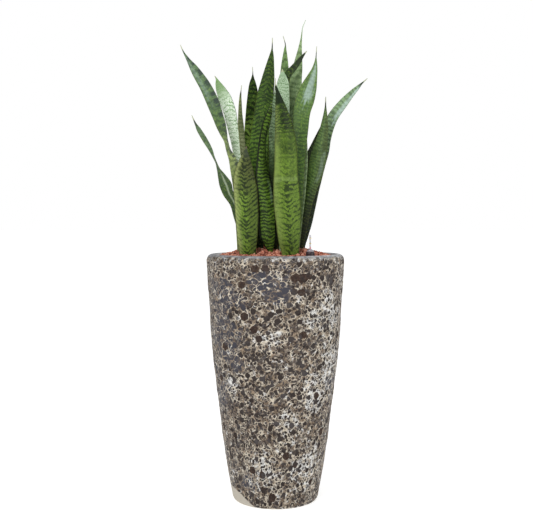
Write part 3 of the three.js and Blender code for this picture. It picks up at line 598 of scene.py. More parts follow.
# %% Leaf stations
# Each leaf is (cup, thickness, stations), and each station (x, z, width, turn, y), in millimetres and degrees
LEAVES = {
    "leaf_far_left": (0.32, 3.0, [
        (-88, 668, 20, -15, -34), (-94, 736, 23, -20, -36), (-102, 765, 24, -25, -39),
        (-111, 800, 26, -20, -44), (-128, 829, 31, -20, -50), (-134, 849, 37, -25, -53),
        (-144, 872, 27, -35, -58), (-154, 893, 16, -60, -61), (-160.5, 909, 11, -76, -64),
        (-166, 923, 10, -62, -66), (-174.5, 944, 12.5, -35, -70), (-190, 971, 14.5, -20, -76),
        (-205, 996, 12.5, -15, -82), (-215, 1014, 5, -10, -86), (-225, 1036, 1.6, -10, -92),
    ]),
    "leaf_upper_left": (0.3, 3.2, [
        (-92, 668, 22, 0, -8), (-95, 760, 26, 0, -9), (-99, 830, 28, 0, -10), (-106, 880, 28, -10, -11),
        (-116, 920, 24, -35, -13), (-126.5, 943, 22, -55, -14), (-133, 967, 26, -64, -16),
        (-140, 990, 30, -45, -18), (-151.2, 1024, 30, -15, -21), (-169.2, 1073, 34, -10, -26),
        (-188.2, 1113, 31, -10, -31), (-205.7, 1141, 27, -10, -35), (-219.2, 1162, 21, -10, -38),
        (-233.7, 1184, 10, -10, -41), (-247, 1206, 3.2, -10, -44), (-255, 1224, 1.6, -10, -46),
    ]),
    "leaf_pale_left": (0.25, 2.8, [
        (-76, 668, 25, 16, 18), (-82, 780, 27, 16, 18), (-92, 870, 27, 16, 17), (-101, 925, 24, 16, 16),
        (-107, 965, 27, 16, 15), (-114, 1000, 30, 16, 15), (-123, 1045, 35.5, 16, 15),
        (-135, 1079, 36.5, 16, 16), (-146, 1103, 28, 16, 17), (-153, 1119, 17.5, 16, 18),
        (-158, 1133, 5.2, 16, 19), (-163, 1141, 1.6, 16, 20),
    ]),
    "leaf_edge_on_left": (0.3, 3.0, [
        (-76, 668, 18, 60, -22), (-79, 780, 22, 60, -22), (-83, 880, 25, 60, -22),
        (-89, 960, 27, 58, -22), (-92.7, 1004, 27, 57, -21), (-94.5, 1045, 20, 60, -20),
        (-94, 1086, 7, 50, -19), (-92.5, 1101, 2.2, 0, -19), (-90.6, 1116, 1.5, 0, -19),
    ]),
    "leaf_front_left": (-0.26, 3.6, [
        (-75, 666, 44.5, -10, -59), (-76, 724, 57, -10, -62), (-78, 790, 63.5, -10, -66),
        (-80.5, 832, 64, -10, -69), (-83.5, 866, 58, -10, -72), (-82.5, 902, 40.5, -10, -76),
        (-80.5, 926, 22.5, -10, -79), (-79, 942, 8.1, -10, -82), (-78, 953, 1.6, -10, -84),
    ]),
    "leaf_behind_left": (0.28, 3.2, [
        (-46, 672, 28, 22, 18), (-54, 790, 41, 22, 21), (-61, 900, 46.5, 22, 26),
        (-62.5, 985, 45.5, 22, 32), (-61, 1042, 40.5, 22, 36), (-60.5, 1080, 34, 22, 39),
        (-60.5, 1102, 28, 22, 41), (-61, 1121, 19.5, 22, 42), (-61, 1137, 7.5, 22, 43),
        (-60.8, 1148, 2.4, 22, 44), (-61.6, 1165, 1.5, 22, 45),
    ]),
    "leaf_tall_left": (0.26, 3.6, [
        (-50, 672, 34.5, -18, -15), (-49, 760, 47.5, -18, -18), (-48, 860, 53.5, -18, -21),
        (-45, 955, 54.5, -18, -25), (-36, 1025, 51.5, -18, -28), (-27, 1089, 46.5, -18, -31),
        (-20.5, 1127, 37.5, -18, -33), (-15, 1164, 25, -18, -35), (-10.5, 1195, 12.5, -18, -37),
        (-8.7, 1215, 3.6, -18, -38), (-8, 1242, 1.6, -18, -40),
    ]),
    "leaf_front_centre": (-0.26, 3.4, [
        (-12.5, 666, 12, 0, -47), (-16.5, 689, 28, 0, -49), (-21.5, 715, 42, 0, -52),
        (-24, 770, 45, 0, -56), (-28, 820, 43, 10, -60), (-36, 875, 41, 32, -64),
        (-37.5, 915, 37, 46, -68), (-35.5, 965, 32, 54, -72), (-27.5, 1005, 30, 50, -75),
        (-18.5, 1035, 20, 38, -78), (-13, 1055, 9, 20, -80), (-11, 1068, 1.6, 0, -82),
    ]),
    "leaf_front_right": (-0.24, 4.0, [
        (40, 666, 46.5, 10, -74), (37.5, 700, 58, 10, -77), (35.5, 745, 66, 10, -81),
        (31, 808, 70.5, 10, -87), (28.5, 856, 66, 10, -92), (28, 900, 61, 10, -97),
        (27.5, 956, 57.5, 10, -104), (21, 1018, 43, 10, -112), (15.5, 1050, 31.5, 10, -117),
        (9, 1080, 18, 10, -121), (4, 1104, 7.1, 10, -125), (-1, 1122, 1.6, 10, -128),
    ]),
    "leaf_pale_centre": (0.26, 2.8, [
        (21, 668, 19.5, -15, -46), (21, 790, 28, -15, -52), (21, 900, 32, -15, -61),
        (21, 1000, 34, -15, -71), (21, 1075, 34, -15, -80), (20, 1117, 33, -15, -86),
        (19.5, 1137, 21.5, -15, -89), (18.5, 1150, 9.3, -15, -91), (18.5, 1159, 1.6, -15, -92),
    ]),
    "leaf_tall_centre": (0.28, 3.2, [
        (22, 676, 29.5, 28, -8), (18, 800, 38.5, 28, -8), (18, 910, 42, 28, -8), (20, 1010, 43, 28, -8),
        (22.5, 1095, 38.5, 28, -8), (25, 1142, 29.5, 28, -8), (25, 1166, 23, 28, -8),
        (25.4, 1186, 17, 28, -8), (26, 1211, 7.4, 28, -8), (26.5, 1224, 2.9, 28, -8),
        (20.5, 1247, 1.6, 28, -8),
    ]),
    "leaf_tallest": (0.26, 3.4, [
        (51, 672, 28.5, -20, -28), (56, 755, 36, -20, -29), (61, 830, 42.5, -20, -30),
        (65.5, 920, 45, -20, -32), (62.5, 990, 44.5, -20, -34), (57, 1060, 41.5, -20, -36),
        (53.5, 1125, 36, -20, -38), (58.5, 1157, 28.5, -20, -38), (62.5, 1187, 19.5, -20, -38),
        (66.3, 1217, 9.6, -20, -38), (69.8, 1246, 3.4, -20, -38), (73, 1270, 2.2, -20, -38),
        (81, 1289, 1.4, -20, -38),
    ]),
    "leaf_dark_bent": (0.26, 3.0, [
        (17, 672, 20, 0, -27), (16, 790, 29, 0, -31), (14, 900, 31, 0, -38), (13.5, 1000, 30, 0, -46),
        (16, 1065, 27, 0, -53), (23, 1118, 24, 0, -59), (33, 1144, 20, 0, -62),
        (47, 1160, 17.5, 0, -65), (60, 1176, 14, 0, -67), (73, 1194, 7, 0, -69),
        (84, 1207, 1.6, 0, -71),
    ]),
    "leaf_glossy_right": (0.24, 3.4, [
        (47, 668, 28, 15, -50), (52, 760, 37.5, 15, -53), (56, 850, 40.5, 15, -58),
        (61, 940, 42.5, 15, -64), (67.5, 1002, 43, 15, -69), (71.5, 1048, 46.5, 15, -74),
        (80, 1078, 49, 15, -77), (89, 1108, 43, 15, -81), (98, 1136, 28.5, 15, -84),
        (104.5, 1157, 16.5, 15, -86), (108, 1180, 6.2, 15, -88), (108.7, 1192, 2.7, 15, -89),
        (110.5, 1219, 1.5, 15, -91),
    ]),
    "leaf_right": (-0.22, 3.2, [
        (66, 686, 21, -18, 0), (71.5, 734, 28.5, -18, -3), (81.5, 792, 34.5, -18, -7),
        (94, 843, 40, -18, -11), (106, 880, 45, -18, -14), (113, 912, 47.5, -18, -17),
        (118, 940, 42, -18, -20), (124.5, 968, 33, -18, -23), (130.5, 1000, 23.5, -18, -27),
        (133.8, 1036, 11.5, -18, -31), (134.6, 1063, 3.6, -18, -34), (135, 1085, 1.8, -18, -37),
    ]),
    "leaf_far_right": (0.26, 3.2, [
        (72, 680, 17, 20, 24), (80, 712, 19.5, 20, 24), (88, 752, 26.5, 20, 24),
        (95, 792, 29.5, 20, 24), (103, 833, 31, 20, 23), (111, 868, 32, 20, 22), (119, 902, 33, 20, 20),
        (129, 942, 34, 20, 17), (134, 975, 34, 20, 14), (142.5, 1005, 33, 20, 10),
        (156, 1034, 30.5, 20, 5), (181, 1067, 26, 20, -2), (200.4, 1089.5, 19, 20, -7),
        (220.5, 1110, 11, 20, -12), (232.7, 1122, 4.3, 20, -15), (246.7, 1134, 1.6, 20, -18),
    ]),
    "leaf_shaded_right": (0.24, 3.0, [
        (25, 676, 22, 25, 24), (40, 760, 31, 25, 34), (58, 840, 33, 25, 42), (79, 896, 32, 25, 44),
        (97, 932, 30, 25, 43), (111, 961, 27.5, 25, 40), (122, 990, 20, 25, 36), (131, 1020, 2, 25, 32),
    ]),
    "leaf_silver_centre": (0.22, 2.8, [
        (-1, 670, 18, -40, -26), (-5, 760, 26, -50, -34), (-9, 849, 32, -55, -45),
        (-9.5, 920, 30, -60, -53), (-9.5, 985, 30, -58, -60), (-7, 1022, 25, -56, -65),
        (-4, 1067, 14, -54, -71), (-1.2, 1104, 4, -50, -76), (0, 1135, 1.5, 0, -80),
    ]),
    "leaf_back_left": (0.26, 3.2, [
        (-66, 676, 20, -35, 46), (-76, 800, 24, -35, 62), (-95, 900, 24, -35, 84),
        (-106, 962, 21, -35, 98), (-120, 1025, 24, -35, 115), (-134, 1072, 18, -35, 130),
        (-144, 1100, 7, -35, 140), (-150, 1117, 1.6, -35, 146),
    ]),
    "leaf_back_centre": (0.26, 3.6, [
        (-14, 680, 28, 25, 44), (-22, 790, 42, 25, 62), (-30, 890, 47, 25, 90), (-34, 970, 44, 25, 120),
        (-31, 1035, 34, 25, 150), (-27, 1080, 16, 25, 172), (-25, 1102, 1.8, 25, 184),
    ]),
    "leaf_back_tall": (0.26, 3.6, [
        (20, 680, 28, -30, 52), (22, 790, 40, -30, 66), (24, 890, 44, -30, 86), (26, 980, 42, -30, 108),
        (26, 1050, 32, -30, 128), (25, 1100, 15, -30, 144), (24, 1125, 1.8, -30, 152),
    ]),
    "leaf_back_right": (0.26, 3.2, [
        (49, 680, 22, 40, 48), (56, 800, 32, 40, 66), (62, 890, 34, 40, 86), (67, 970, 30, 40, 106),
        (77, 1035, 26, 40, 124), (89, 1085, 14, 40, 138), (100, 1117, 1.6, 40, 148),
    ]),
    "leaf_back_low": (0.24, 3.8, [
        (2, 682, 26, 8, 76), (0, 750, 40, 8, 98), (-2, 820, 50, 8, 130), (-4, 880, 46, 8, 168),
        (-5, 925, 30, 8, 202), (-6, 955, 12, 8, 226), (-6, 968, 1.8, 8, 238),
    ]),
    "leaf_back_leaning": (0.26, 3.2, [
        (-36, 678, 22, -25, 66), (-45, 790, 32, -25, 94), (-53, 880, 34, -25, 130),
        (-58, 950, 24, -25, 164), (-61, 995, 10, -25, 190), (-62, 1017, 1.8, -25, 204),
    ]),
    "leaf_young_right": (0.28, 2.8, [
        (74, 676, 18, 50, 46), (83, 750, 27, 50, 66), (92, 820, 28, 50, 92), (99, 872, 16, 50, 114),
        (104, 905, 1.8, 50, 130),
    ]),
}
print("leaves", len(LEAVES))

# %% A smooth spine through the stations
LEAF_FOOT = 613 * MM            # the leaves meet the creeping stems at this height
FOOT_SHARE = 0.72               # a leaf's foot is this much of its first width
RING_STEP = 3.2 * MM
FEWEST_RINGS = 12


def seen_from_front(x, z, y):
    """A place that is seen from the viewing point at (x, z) on the plane y = 0, and stands at y."""
    scale = 1 - y / VIEW_POINT.y
    return np.array([x * scale, y, VIEW_POINT.z + (z - VIEW_POINT.z) * scale])


def spine_curve(points, span, part):
    """Points and directions on the smooth curve through the spine's points."""
    padded = np.vstack([2 * points[0] - points[1], points, 2 * points[-1] - points[-2]])
    a, b, c, d = (padded[span + i] for i in range(4))
    stretches = ((a, b), (b, c), (c, d))
    before, here, after = (np.sqrt(np.linalg.norm(q - p, axis=1))[:, None] for p, q in stretches)
    start = here * ((b - a) / before - (c - a) / (before + here) + (c - b) / here)
    end = here * ((c - b) / here - (d - b) / (here + after) + (d - c) / after)
    t = part[:, None]
    third, fourth = -3 * b + 3 * c - 2 * start - end, 2 * b - 2 * c + start + end
    place_at = b + start * t + third * t ** 2 + fourth * t ** 3
    heading = start + 2 * third * t + 3 * fourth * t ** 2
    return place_at, heading / np.linalg.norm(heading, axis=1)[:, None]


def leaf_frames(stations):
    """Each ring's distance from the foot, middle, directions to the side and the front, and width."""
    table = np.array(stations, float)
    table[:, [0, 1, 2, 4]] *= MM
    foot = seen_from_front(table[0, 0], LEAF_FOOT, table[0, 4])
    foot[2] = LEAF_FOOT
    points = np.vstack([foot, [seen_from_front(x, z, y) for x, z, _, _, y in table]])
    widths = np.concatenate([[FOOT_SHARE * table[0, 2]], table[:, 2]])
    angles = np.concatenate([[table[0, 3]], table[:, 3]])
    spans = np.linalg.norm(np.diff(points, axis=0), axis=1)
    knots = np.concatenate([[0], np.cumsum(spans)])
    at = np.linspace(0, knots[-1], max(FEWEST_RINGS, round(knots[-1] / RING_STEP)))
    span = np.clip(np.searchsorted(knots, at, "right") - 1, 0, len(spans) - 1)
    spine, along = spine_curve(points, span, (at - knots[span]) / spans[span])
    width, turn = flowing(at, knots, widths), np.radians(flowing(at, knots, angles))
    facing = np.array([0, -1, 0]) + along * along[:, 1:2]
    facing /= np.linalg.norm(facing, axis=1)[:, None]
    across = np.cross(along, facing)
    cos, sin = np.cos(turn)[:, None], np.sin(turn)[:, None]
    return at, spine, across * cos - facing * sin, facing * cos + across * sin, width


print("rings on the tallest leaf", len(leaf_frames(LEAVES["leaf_tallest"][2])[0]))

# %% The blade's section
ACROSS = 17                     # points across each face of a blade
THICKNESS_SHARE, MARGIN_THINNING, CHANNEL_POWER = 0.45, 0.8, 1.25
FLUTTER = 0.020                 # how far the margins wave, as a share of half the width
FLUTTER_WAVES = (26 * MM, 11 * MM)
STILL_END = 60 * MM             # the margins are still this near the foot and the tip
EDGES = np.concatenate([np.linspace(-1, 1, ACROSS), np.linspace(1, -1, ACROSS)[1:-1]])
FACES = np.concatenate([np.ones(ACROSS), -np.ones(ACROSS - 2)])


def leaf_blade(name, cup, thickness, stations, seed):
    """The fine mesh of one leaf, with its own coordinates stored for its finish."""
    at, spine, side, front, width = leaf_frames(stations)
    half, length = width / 2, at[-1]
    body = np.minimum(thickness * MM, THICKNESS_SHARE * width) / 2
    shape = (len(at), len(EDGES))
    s, face = np.broadcast_to(EDGES, shape), np.broadcast_to(FACES, shape)
    sideways = s * half[:, None]
    wave = np.random.default_rng(seed)
    reach = np.clip((length - at) / STILL_END, 0, 1) * np.clip((at - STILL_END) / STILL_END, 0, 1)
    swing = np.sin(at / FLUTTER_WAVES[0] + wave.uniform(0, 6))
    swing = swing + 0.6 * np.sin(at / FLUTTER_WAVES[1] + wave.uniform(0, 6))
    flutter = (reach * swing * FLUTTER * half)[:, None] * s ** 2 * np.sign(s + 0.01 * wave.uniform(-1, 1))
    hollow = -cup * half[:, None] * (1 - np.abs(s) ** CHANNEL_POWER)
    skin = face * body[:, None] * (1 - MARGIN_THINNING * s * s)
    offset = hollow + skin + flutter
    rings = spine[:, None] + side[:, None] * sideways[..., None] + front[:, None] * offset[..., None]
    lengths = np.broadcast_to(at[:, None], shape)
    blade = np.stack([sideways, lengths, length - lengths], -1) / MM
    share = np.stack([s, lengths / length, face], -1)
    return ringed(name, rings, {"blade": blade, "share": share})


print("points round a blade", len(EDGES))

# %% [markdown]
# ## The leaves' finish
# The leaf skin is banded across in light and dark green. The bands zigzag, break up and lean up or down
# from the midrib. They are drawn in the leaf's own coordinates: millimetres across and along the blade.
# Every leaf has its own look, from yellow green to nearly white, and the differences between leaves are
# what make the tuft real.
#
# A look names a leaf's greens and its marks. Light and dark are the tones of the ground and of the bands,
# and top, low, tip and awl are the tones of those parts. On most leaves the low tone is a painted shade at
# the foot, where the leaves crowd together; on the pale left leaf it is a painted light, and on the upper
# left leaf a paler foot. The sides are a painted lit side and a painted shaded side, and the sheen and the
# crease are painted highlights. The period is the bands' spacing in millimetres, the cover is about how much
# of the skin they take up, and the lean is the slope of their chevrons at the foot and at the tip. Lengths at
# the tip are in millimetres. Places along the leaf are shares of its length, and places across it run from
# -1 at its left margin to 1 at its right one.

# %% The look of each leaf
GREEN, DEEP, AWL = tone(96, 126, 48), tone(30, 46, 18), tone(160, 166, 132)
# A painted shade for the foot of a leaf, where the leaves crowd together.
FOOT_SHADE = tone(30, 44, 18)
PLAIN_LOOK = dict(light=GREEN, dark=DEEP, top=None, low=None, low_span=(0.42, 0.12), sides=(0.0, 0.0),
                  blotch=0.4, fresh=0.35, period=11.0, lean=(0.0, 0.0), cover=0.40, strength=0.85, spine=0.0,
                  fade=None, calm=None, ring=None, blot=None, lines=None, flecks=0.0, crease=0.0, patches=0.0,
                  painted_sheen=None, shadow=0.0, tip=tone(28, 40, 22), tip_length=22, tip_blend=0.85, awl=AWL,
                  awl_length=16)
LOOKS = {
    "leaf_front_right": dict(
        light=tone(96, 124, 40), dark=tone(14, 30, 8), lean=(0.75, -0.1), cover=0.22, spine=0.5,
        lines=(0.74, 0.87, 8.0), tip_length=50, sides=(0.22, 0.0), top=tone(56, 80, 20), period=12.5,
        strength=0.86, blot=(0.458, 7.5), tip=tone(12, 28, 8), tip_blend=0.15, calm=(0.53, 0.74, 0.5),
        ring=(0.505, 0.018, 0.18), awl_length=8),
    "leaf_front_left": dict(
        light=tone(102, 132, 44), dark=tone(14, 26, 12), lean=(0.85, 0.5), cover=0.34, spine=0.30,
        sides=(0.65, -0.5), top=tone(80, 88, 46), tip=tone(58, 66, 50), tip_length=34,
        awl=tone(104, 92, 76), awl_length=6, period=12.0, strength=0.88),
    "leaf_front_centre": dict(
        light=tone(90, 122, 40), dark=tone(14, 26, 12), period=9.5, cover=0.5, lean=(0.1, 0), strength=0.92,
        painted_sheen=(0.78, 0.3, 0.40, 0.50, 0.28), awl_length=1, tip=tone(44, 64, 24), tip_length=8, shadow=0.9),
    "leaf_tall_left": dict(
        light=tone(82, 116, 34), dark=tone(20, 38, 14), lean=(0.1, -0.7), cover=0.42, low=FOOT_SHADE,
        top=tone(54, 80, 26)),
    "leaf_behind_left": dict(
        light=tone(156, 194, 88), dark=tone(14, 26, 8), period=14, cover=0.34, strength=0.92,
        top=tone(52, 78, 24)),
    "leaf_pale_left": dict(
        low=tone(250, 255, 248), light=tone(240, 254, 234), dark=tone(96, 150, 66), period=12, cover=0.2,
        lean=(0, -0.5), flecks=0.6, tip=tone(118, 154, 94), tip_length=88, strength=0.68, blotch=0.05,
        awl_length=8, fade=(0.32, 0.75), fresh=0.0),
    "leaf_pale_centre": dict(
        light=tone(164, 186, 156), dark=tone(70, 104, 54), cover=0.16, flecks=0.8, period=10,
        tip=tone(140, 166, 132), strength=0.6, blotch=0.1, awl_length=8, fresh=0.05),
    "leaf_silver_centre": dict(
        light=tone(100, 126, 86), dark=tone(36, 54, 26), cover=0.4, flecks=0.7, period=9, strength=0.8,
        blotch=0.4, low=tone(14, 24, 6), top=tone(146, 172, 134), low_span=(0.66, 0.5)),
    "leaf_upper_left": dict(
        light=tone(84, 110, 60), dark=tone(44, 58, 46), period=18, cover=0.32, blotch=0.5, strength=0.5,
        patches=0.9, top=tone(98, 124, 88), tip=tone(60, 82, 54), painted_sheen=(-0.35, 0.5, 0.72, 0.96, 0.22),
        low=tone(150, 166, 104), low_span=(0.66, 0.46)),
    "leaf_far_left": dict(
        light=tone(58, 80, 42), dark=tone(32, 48, 26), cover=0.3, crease=0.6, strength=0.4,
        top=tone(94, 118, 86), period=14, low=tone(28, 46, 20)),
    "leaf_edge_on_left": dict(
        light=tone(230, 236, 184), dark=tone(70, 88, 46), sides=(0.5, -0.4), period=10,
        top=tone(146, 158, 108), strength=0.6, blotch=0.15),
    "leaf_glossy_right": dict(
        light=tone(72, 102, 40), dark=tone(36, 54, 30), period=10, strength=0.75, tip=tone(40, 54, 36),
        painted_sheen=(0.15, 0.65, 0.72, 0.92, 0.65), top=tone(96, 126, 68), calm=(0.66, 1.1, 0.5)),
    "leaf_far_right": dict(
        light=tone(80, 106, 62), dark=tone(38, 54, 36), period=12, painted_sheen=(0.55, 0.6, 0.72, 0.98, 0.8),
        low=tone(6, 12, 2), top=tone(138, 168, 126), calm=(0.74, 1.1, 0.4), low_span=(0.6, 0.35)),
    "leaf_right": dict(
        light=tone(86, 114, 60), dark=tone(16, 28, 12), period=8.5, cover=0.48, strength=0.8,
        painted_sheen=(0.6, 0.35, 0.50, 0.68, 0.2), top=tone(100, 126, 78), low=tone(14, 24, 6),
        calm=(0.5, 1.1, 0.45), low_span=(0.5, 0.28), sides=(0.0, -0.5)),
    "leaf_tall_centre": dict(
        light=tone(118, 150, 92), dark=tone(54, 76, 44), period=20, cover=0.34, strength=0.75),
    "leaf_tallest": dict(
        light=tone(166, 192, 144), top=tone(142, 168, 120), dark=tone(70, 94, 54), period=16, cover=0.40,
        strength=0.6, tip=tone(112, 138, 92), awl=tone(160, 180, 150), awl_length=40),
    "leaf_dark_bent": dict(
        light=tone(50, 74, 32), dark=tone(24, 36, 18), tip=tone(34, 44, 28), tip_length=70, awl_length=8,
        period=14),
    "leaf_shaded_right": dict(
        light=tone(58, 78, 34), dark=tone(22, 32, 14), cover=0.5),
}
print("leaves with a look of their own", len(LOOKS))


# %% Banded leaf skin
FRESH = tone(132, 152, 58)      # the yellow-green flecks between the bands
# Tones for a painted lit side and a painted shaded side of a blade.
LIT_SIDE_TONE, SHADED_SIDE_TONE = tone(166, 176, 112), tone(62, 68, 34)
RING_GREEN, LINE_GREEN = tone(158, 182, 118), tone(20, 28, 12)
# On the next line the pale crease tone and the whitish sheen tone are painted highlights; the slate is the
# leaf's own tone.
CREASE_HIGHLIGHT, PATCH_SLATE, SHEEN_HIGHLIGHT = tone(172, 184, 158), tone(50, 60, 58), tone(170, 190, 184)
SHADOW_LINE, MARGIN_BROWN = tone(12, 20, 8), tone(104, 100, 56)


class SkinPlaces:
    """Places and noises that the layers of one leaf's skin share. Lengths are in millimetres."""

    def __init__(self, f, number):
        self.finish = f
        self.across, along, self.to_tip = f.parts(f.stored("blade"))
        self.share_across, self.share_along, _ = f.parts(f.stored("share"))
        self.along = along + number * 37.0      # each leaf shows the noises at another place
        self.slow = self.spots(26, 40, 2)
        self.mottle = self.spots(1.6, 3.4, 3)
        self.patchy = self.spots(4.2, 5.5, 3, 9.0)

    def up(self, unevenness):
        return self.share_along + (self.slow - 0.5) * unevenness

    def aside(self, unevenness):
        return self.share_across + (self.slow - 0.5) * unevenness

    def spots(self, wide, tall, detail, layer=0.0):
        """Noise with spots about so wide and so tall. Another layer shows other spots of that size."""
        place_on = self.finish.point(self.across / wide, self.along / tall, layer)
        return self.finish.noise(place_on, 1.0, detail)


def banding(f, at, look):
    """How dark the bands are at each place, from 0 to 1."""
    low_lean, high_lean = look["lean"]
    period = look["period"]
    lean = at.share_along * (high_lean - low_lean) + low_lean
    broad, wander = at.spots(24, 45, 1) - 0.5, at.spots(5, 11, 2, 7.0) - 0.5
    comb = at.spots(1.5, 10, 1) - 0.5
    level = at.along - abs(at.across) * lean + broad * (2.2 * period) + wander * (0.8 * period) + comb * 4
    crest = abs((level / period).fraction() - 0.5) * 2
    hairline = abs((level / (period * 0.37)).fraction() - 0.5) * 2
    weight, broken = at.spots(19, 27, 1, 5.0) - 0.5, at.spots(9, 8, 3, 4.0) - 0.5
    bleeding = at.spots(2.6, 1.7, 2, 8.0) - 0.5
    needed = 1 - look["cover"]
    if look["spine"]:
        knots = f.step(f.line_noise(at.along / 13), 0.40, 0.56)
        needed = needed - f.step(abs(at.across) + wander * 7, 8.5, 2.0) * (knots + 0.15) * look["spine"]
    bands = f.step(crest + broken * 1.35 + bleeding * 0.7 + weight * 1.1 - needed, -0.16, 0.12)
    fine = f.step(hairline + broken * 1.6 + bleeding * 0.8 - weight * 1.2, 0.80, 1.12)
    return bands.either(fine * 0.55)


print("bands are ready")

# %% The ground between the bands
def skin_ground(f, at, look):
    """The light green, and that green with its darker blotches and with its sides: a paler left side that is
    painted light, and a duller right side that is painted shade.
    """
    light = look["light"]
    if look["top"]:
        light = f.mix(f.step(at.up(0.3), 0.5, 0.85), light, look["top"])
    # The low tone on the lower part: on most leaves painted shade at the crowded foot, on the pale left leaf
    # painted light, on the upper left leaf a paler foot.
    if look["low"]:
        light = f.mix(f.step(at.up(0.2), *look["low_span"]), light, look["low"])
    colour = f.mix(f.step(at.slow, 0.4, 0.72) * look["blotch"], light, look["dark"])
    colour = f.mix(f.step(at.patchy, 0.52, 0.64) * look["fresh"], colour, FRESH)
    colour = f.mix(f.step(at.patchy, 0.46, 0.36) * look["fresh"] * 0.8, colour, look["dark"])
    # The paler left side is painted light, and the duller right side is painted shade.
    left, right = look["sides"]
    if left:
        pale = f.step(at.aside(0.4), -0.3, -0.95)
        colour = f.mix(pale * left, colour, LIT_SIDE_TONE)
    if right:
        shaded_half = f.step(at.aside(0.3), -0.05, 0.5)
        colour = f.mix(shaded_half * -right, colour, SHADED_SIDE_TONE)
    return light, colour


def skin_bands(f, at, look):
    """The bands, weaker where the look says so."""
    dark = banding(f, at, look) * look["strength"]
    # The bands fade on the painted lit left side.
    if look["sides"][0]:
        dark = dark * (1 - f.step(at.aside(0.4), -0.25, -0.8) * 0.55)
    if look["fade"]:
        dark = dark * f.step(at.up(0.5), *look["fade"])
    if look["calm"]:
        start, end, amount = look["calm"]
        uneven = at.up(0.2)
        calm = f.step(uneven, start - 0.05, start + 0.05) * f.step(uneven, end + 0.05, end - 0.05)
        dark = dark * (1 - calm * amount)
    return dark


def ring_and_blot(f, at, look, colour, dark):
    """A pale ring round the leaf where it once stopped growing, and a dark blot on the midrib."""
    if look["ring"]:
        middle, reach, amount = look["ring"]
        ring = f.step(abs(at.up(0.03) - middle), reach, reach * 0.3)
        colour = f.mix(ring * amount, colour, RING_GREEN)
        dark = dark * (1 - ring * 0.6)
    if look["blot"]:
        middle, reach = look["blot"]
        away = f.point(at.across, (at.share_along - middle) * 500)
        away = f.node("ShaderNodeVectorMath", {"operation": "LENGTH"}, {0: away}, "Value")
        dark = dark.either(f.step(away + (at.patchy - 0.5) * 8, reach + 1, reach - 2) * 0.9)
    return colour, dark


print("ground is ready")

# %% Marks that only some leaves have
def dark_marks(f, at, look, colour):
    """Lines across, flecks, a painted highlight along the crease, and slate patches near the right margin."""
    if look["lines"]:
        start, end, spacing = look["lines"]
        wave = (at.spots(7, 30, 2) - 0.5) * 18
        stripe = f.step(abs(((at.along + wave) / spacing).fraction() - 0.5), 0.30, 0.42)
        window = f.step(at.share_along, start - 0.03, start + 0.02) * f.step(at.share_along, end + 0.03, end)
        colour = f.mix(stripe * window * 0.9, colour, LINE_GREEN)
    if look["flecks"]:
        fleck = f.step(at.spots(2.6, 3.8, 1), 0.54, 0.60)
        colour = f.mix(fleck * look["flecks"], colour, look["dark"])
    if look["crease"]:
        # A pale line along the middle of the lower blade: a painted highlight on the crease.
        crease_highlight = f.step(abs(at.aside(0.5)), 0.26, 0.02) * look["crease"]
        colour = f.mix(crease_highlight * f.step(at.share_along, 0.66, 0.58), colour, CREASE_HIGHLIGHT)
    if look["patches"]:
        patch = f.step(f.line_noise(at.along / 17) + (at.mottle - 0.5) * 0.2, 0.47, 0.54)
        near_margin = f.step(at.share_across + (at.patchy - 0.5) * 1.6, -0.1, 0.4)
        colour = f.mix(patch * near_margin * look["patches"], colour, PATCH_SLATE)
    return colour


def painted_sheen(f, at, look, colour, dark):
    """A painted sheen: a whitish highlight of light on the leaf's wax, laid into its colour."""
    if not look["painted_sheen"]:
        return colour
    middle, reach, start, end, amount = look["painted_sheen"]
    drift = (at.spots(6, 45, 3) - 0.5) * 0.9
    spot = f.step(abs(at.share_across + drift - middle), reach, reach * 0.2)
    ragged = at.share_along + (at.spots(5, 24, 2, 3.0) - 0.5) * 0.22
    window = f.step(ragged, start, start + 0.07) * f.step(ragged, end + 0.05, end - 0.03)
    return f.mix(spot * window * amount * (1 - dark * 0.5), colour, SHEEN_HIGHLIGHT)


def margin_and_tip(f, at, look, colour):
    """The brown margin or the shadow on the left one, then the tip's tone and the hard awl."""
    if look["shadow"]:
        shadow = f.step(at.share_across + (at.patchy - 0.5) * 0.1, -0.70, -0.80)
        colour = f.mix(shadow * look["shadow"], colour, SHADOW_LINE)
    margin = f.step(abs(at.share_across), 0.93, 0.99) * (1 - look["shadow"])
    colour = f.mix(margin * 0.45, colour, MARGIN_BROWN)
    awl_at, tip_length = look["awl_length"], look["tip_length"]
    tip_end = awl_at + tip_length
    tipped = f.step(at.to_tip + (at.slow - 0.5) * 16, tip_end, tip_end - tip_length * look["tip_blend"])
    colour = f.mix(tipped * 0.9, colour, look["tip"])
    return f.mix(f.step(at.to_tip, awl_at + 1.0, awl_at * 0.6), colour, look["awl"])


print("marks are ready")

# %% The whole skin, on every leaf
def leaf_skin(name, look, number):
    f = Finish(name + " skin", Specular_IOR_Level=0.18)
    at = SkinPlaces(f, number)
    light, colour = skin_ground(f, at, look)
    colour, dark = ring_and_blot(f, at, look, colour, skin_bands(f, at, look))
    colour = dark_marks(f, at, look, f.mix(dark, colour, look["dark"]))
    # A painted sheen: a whitish highlight on the wax.
    colour = painted_sheen(f, at, look, colour, dark)
    colour = f.mix((at.mottle - 0.35) * 0.3, colour, light)
    colour = f.mix(f.step(at.spots(0.9, 60, 2), 0.5, 0.75) * 0.14, colour, light)
    colour = margin_and_tip(f, at, look, colour)
    f.feed(Base_Color=colour, Roughness=0.46 + (at.mottle - 0.5) * 0.2 - dark * 0.05)
    f.bump(at.spots(1.1, 90, 2) * 0.7 + at.mottle * 0.3, 0.25 * MM, 0.55)
    return f


def slot_of(node):
    """The record's material slot of one of the solid model's nodes."""
    return next(part["material_slot"] for part in frame["record"]["subparts"] if part["node"] == node)


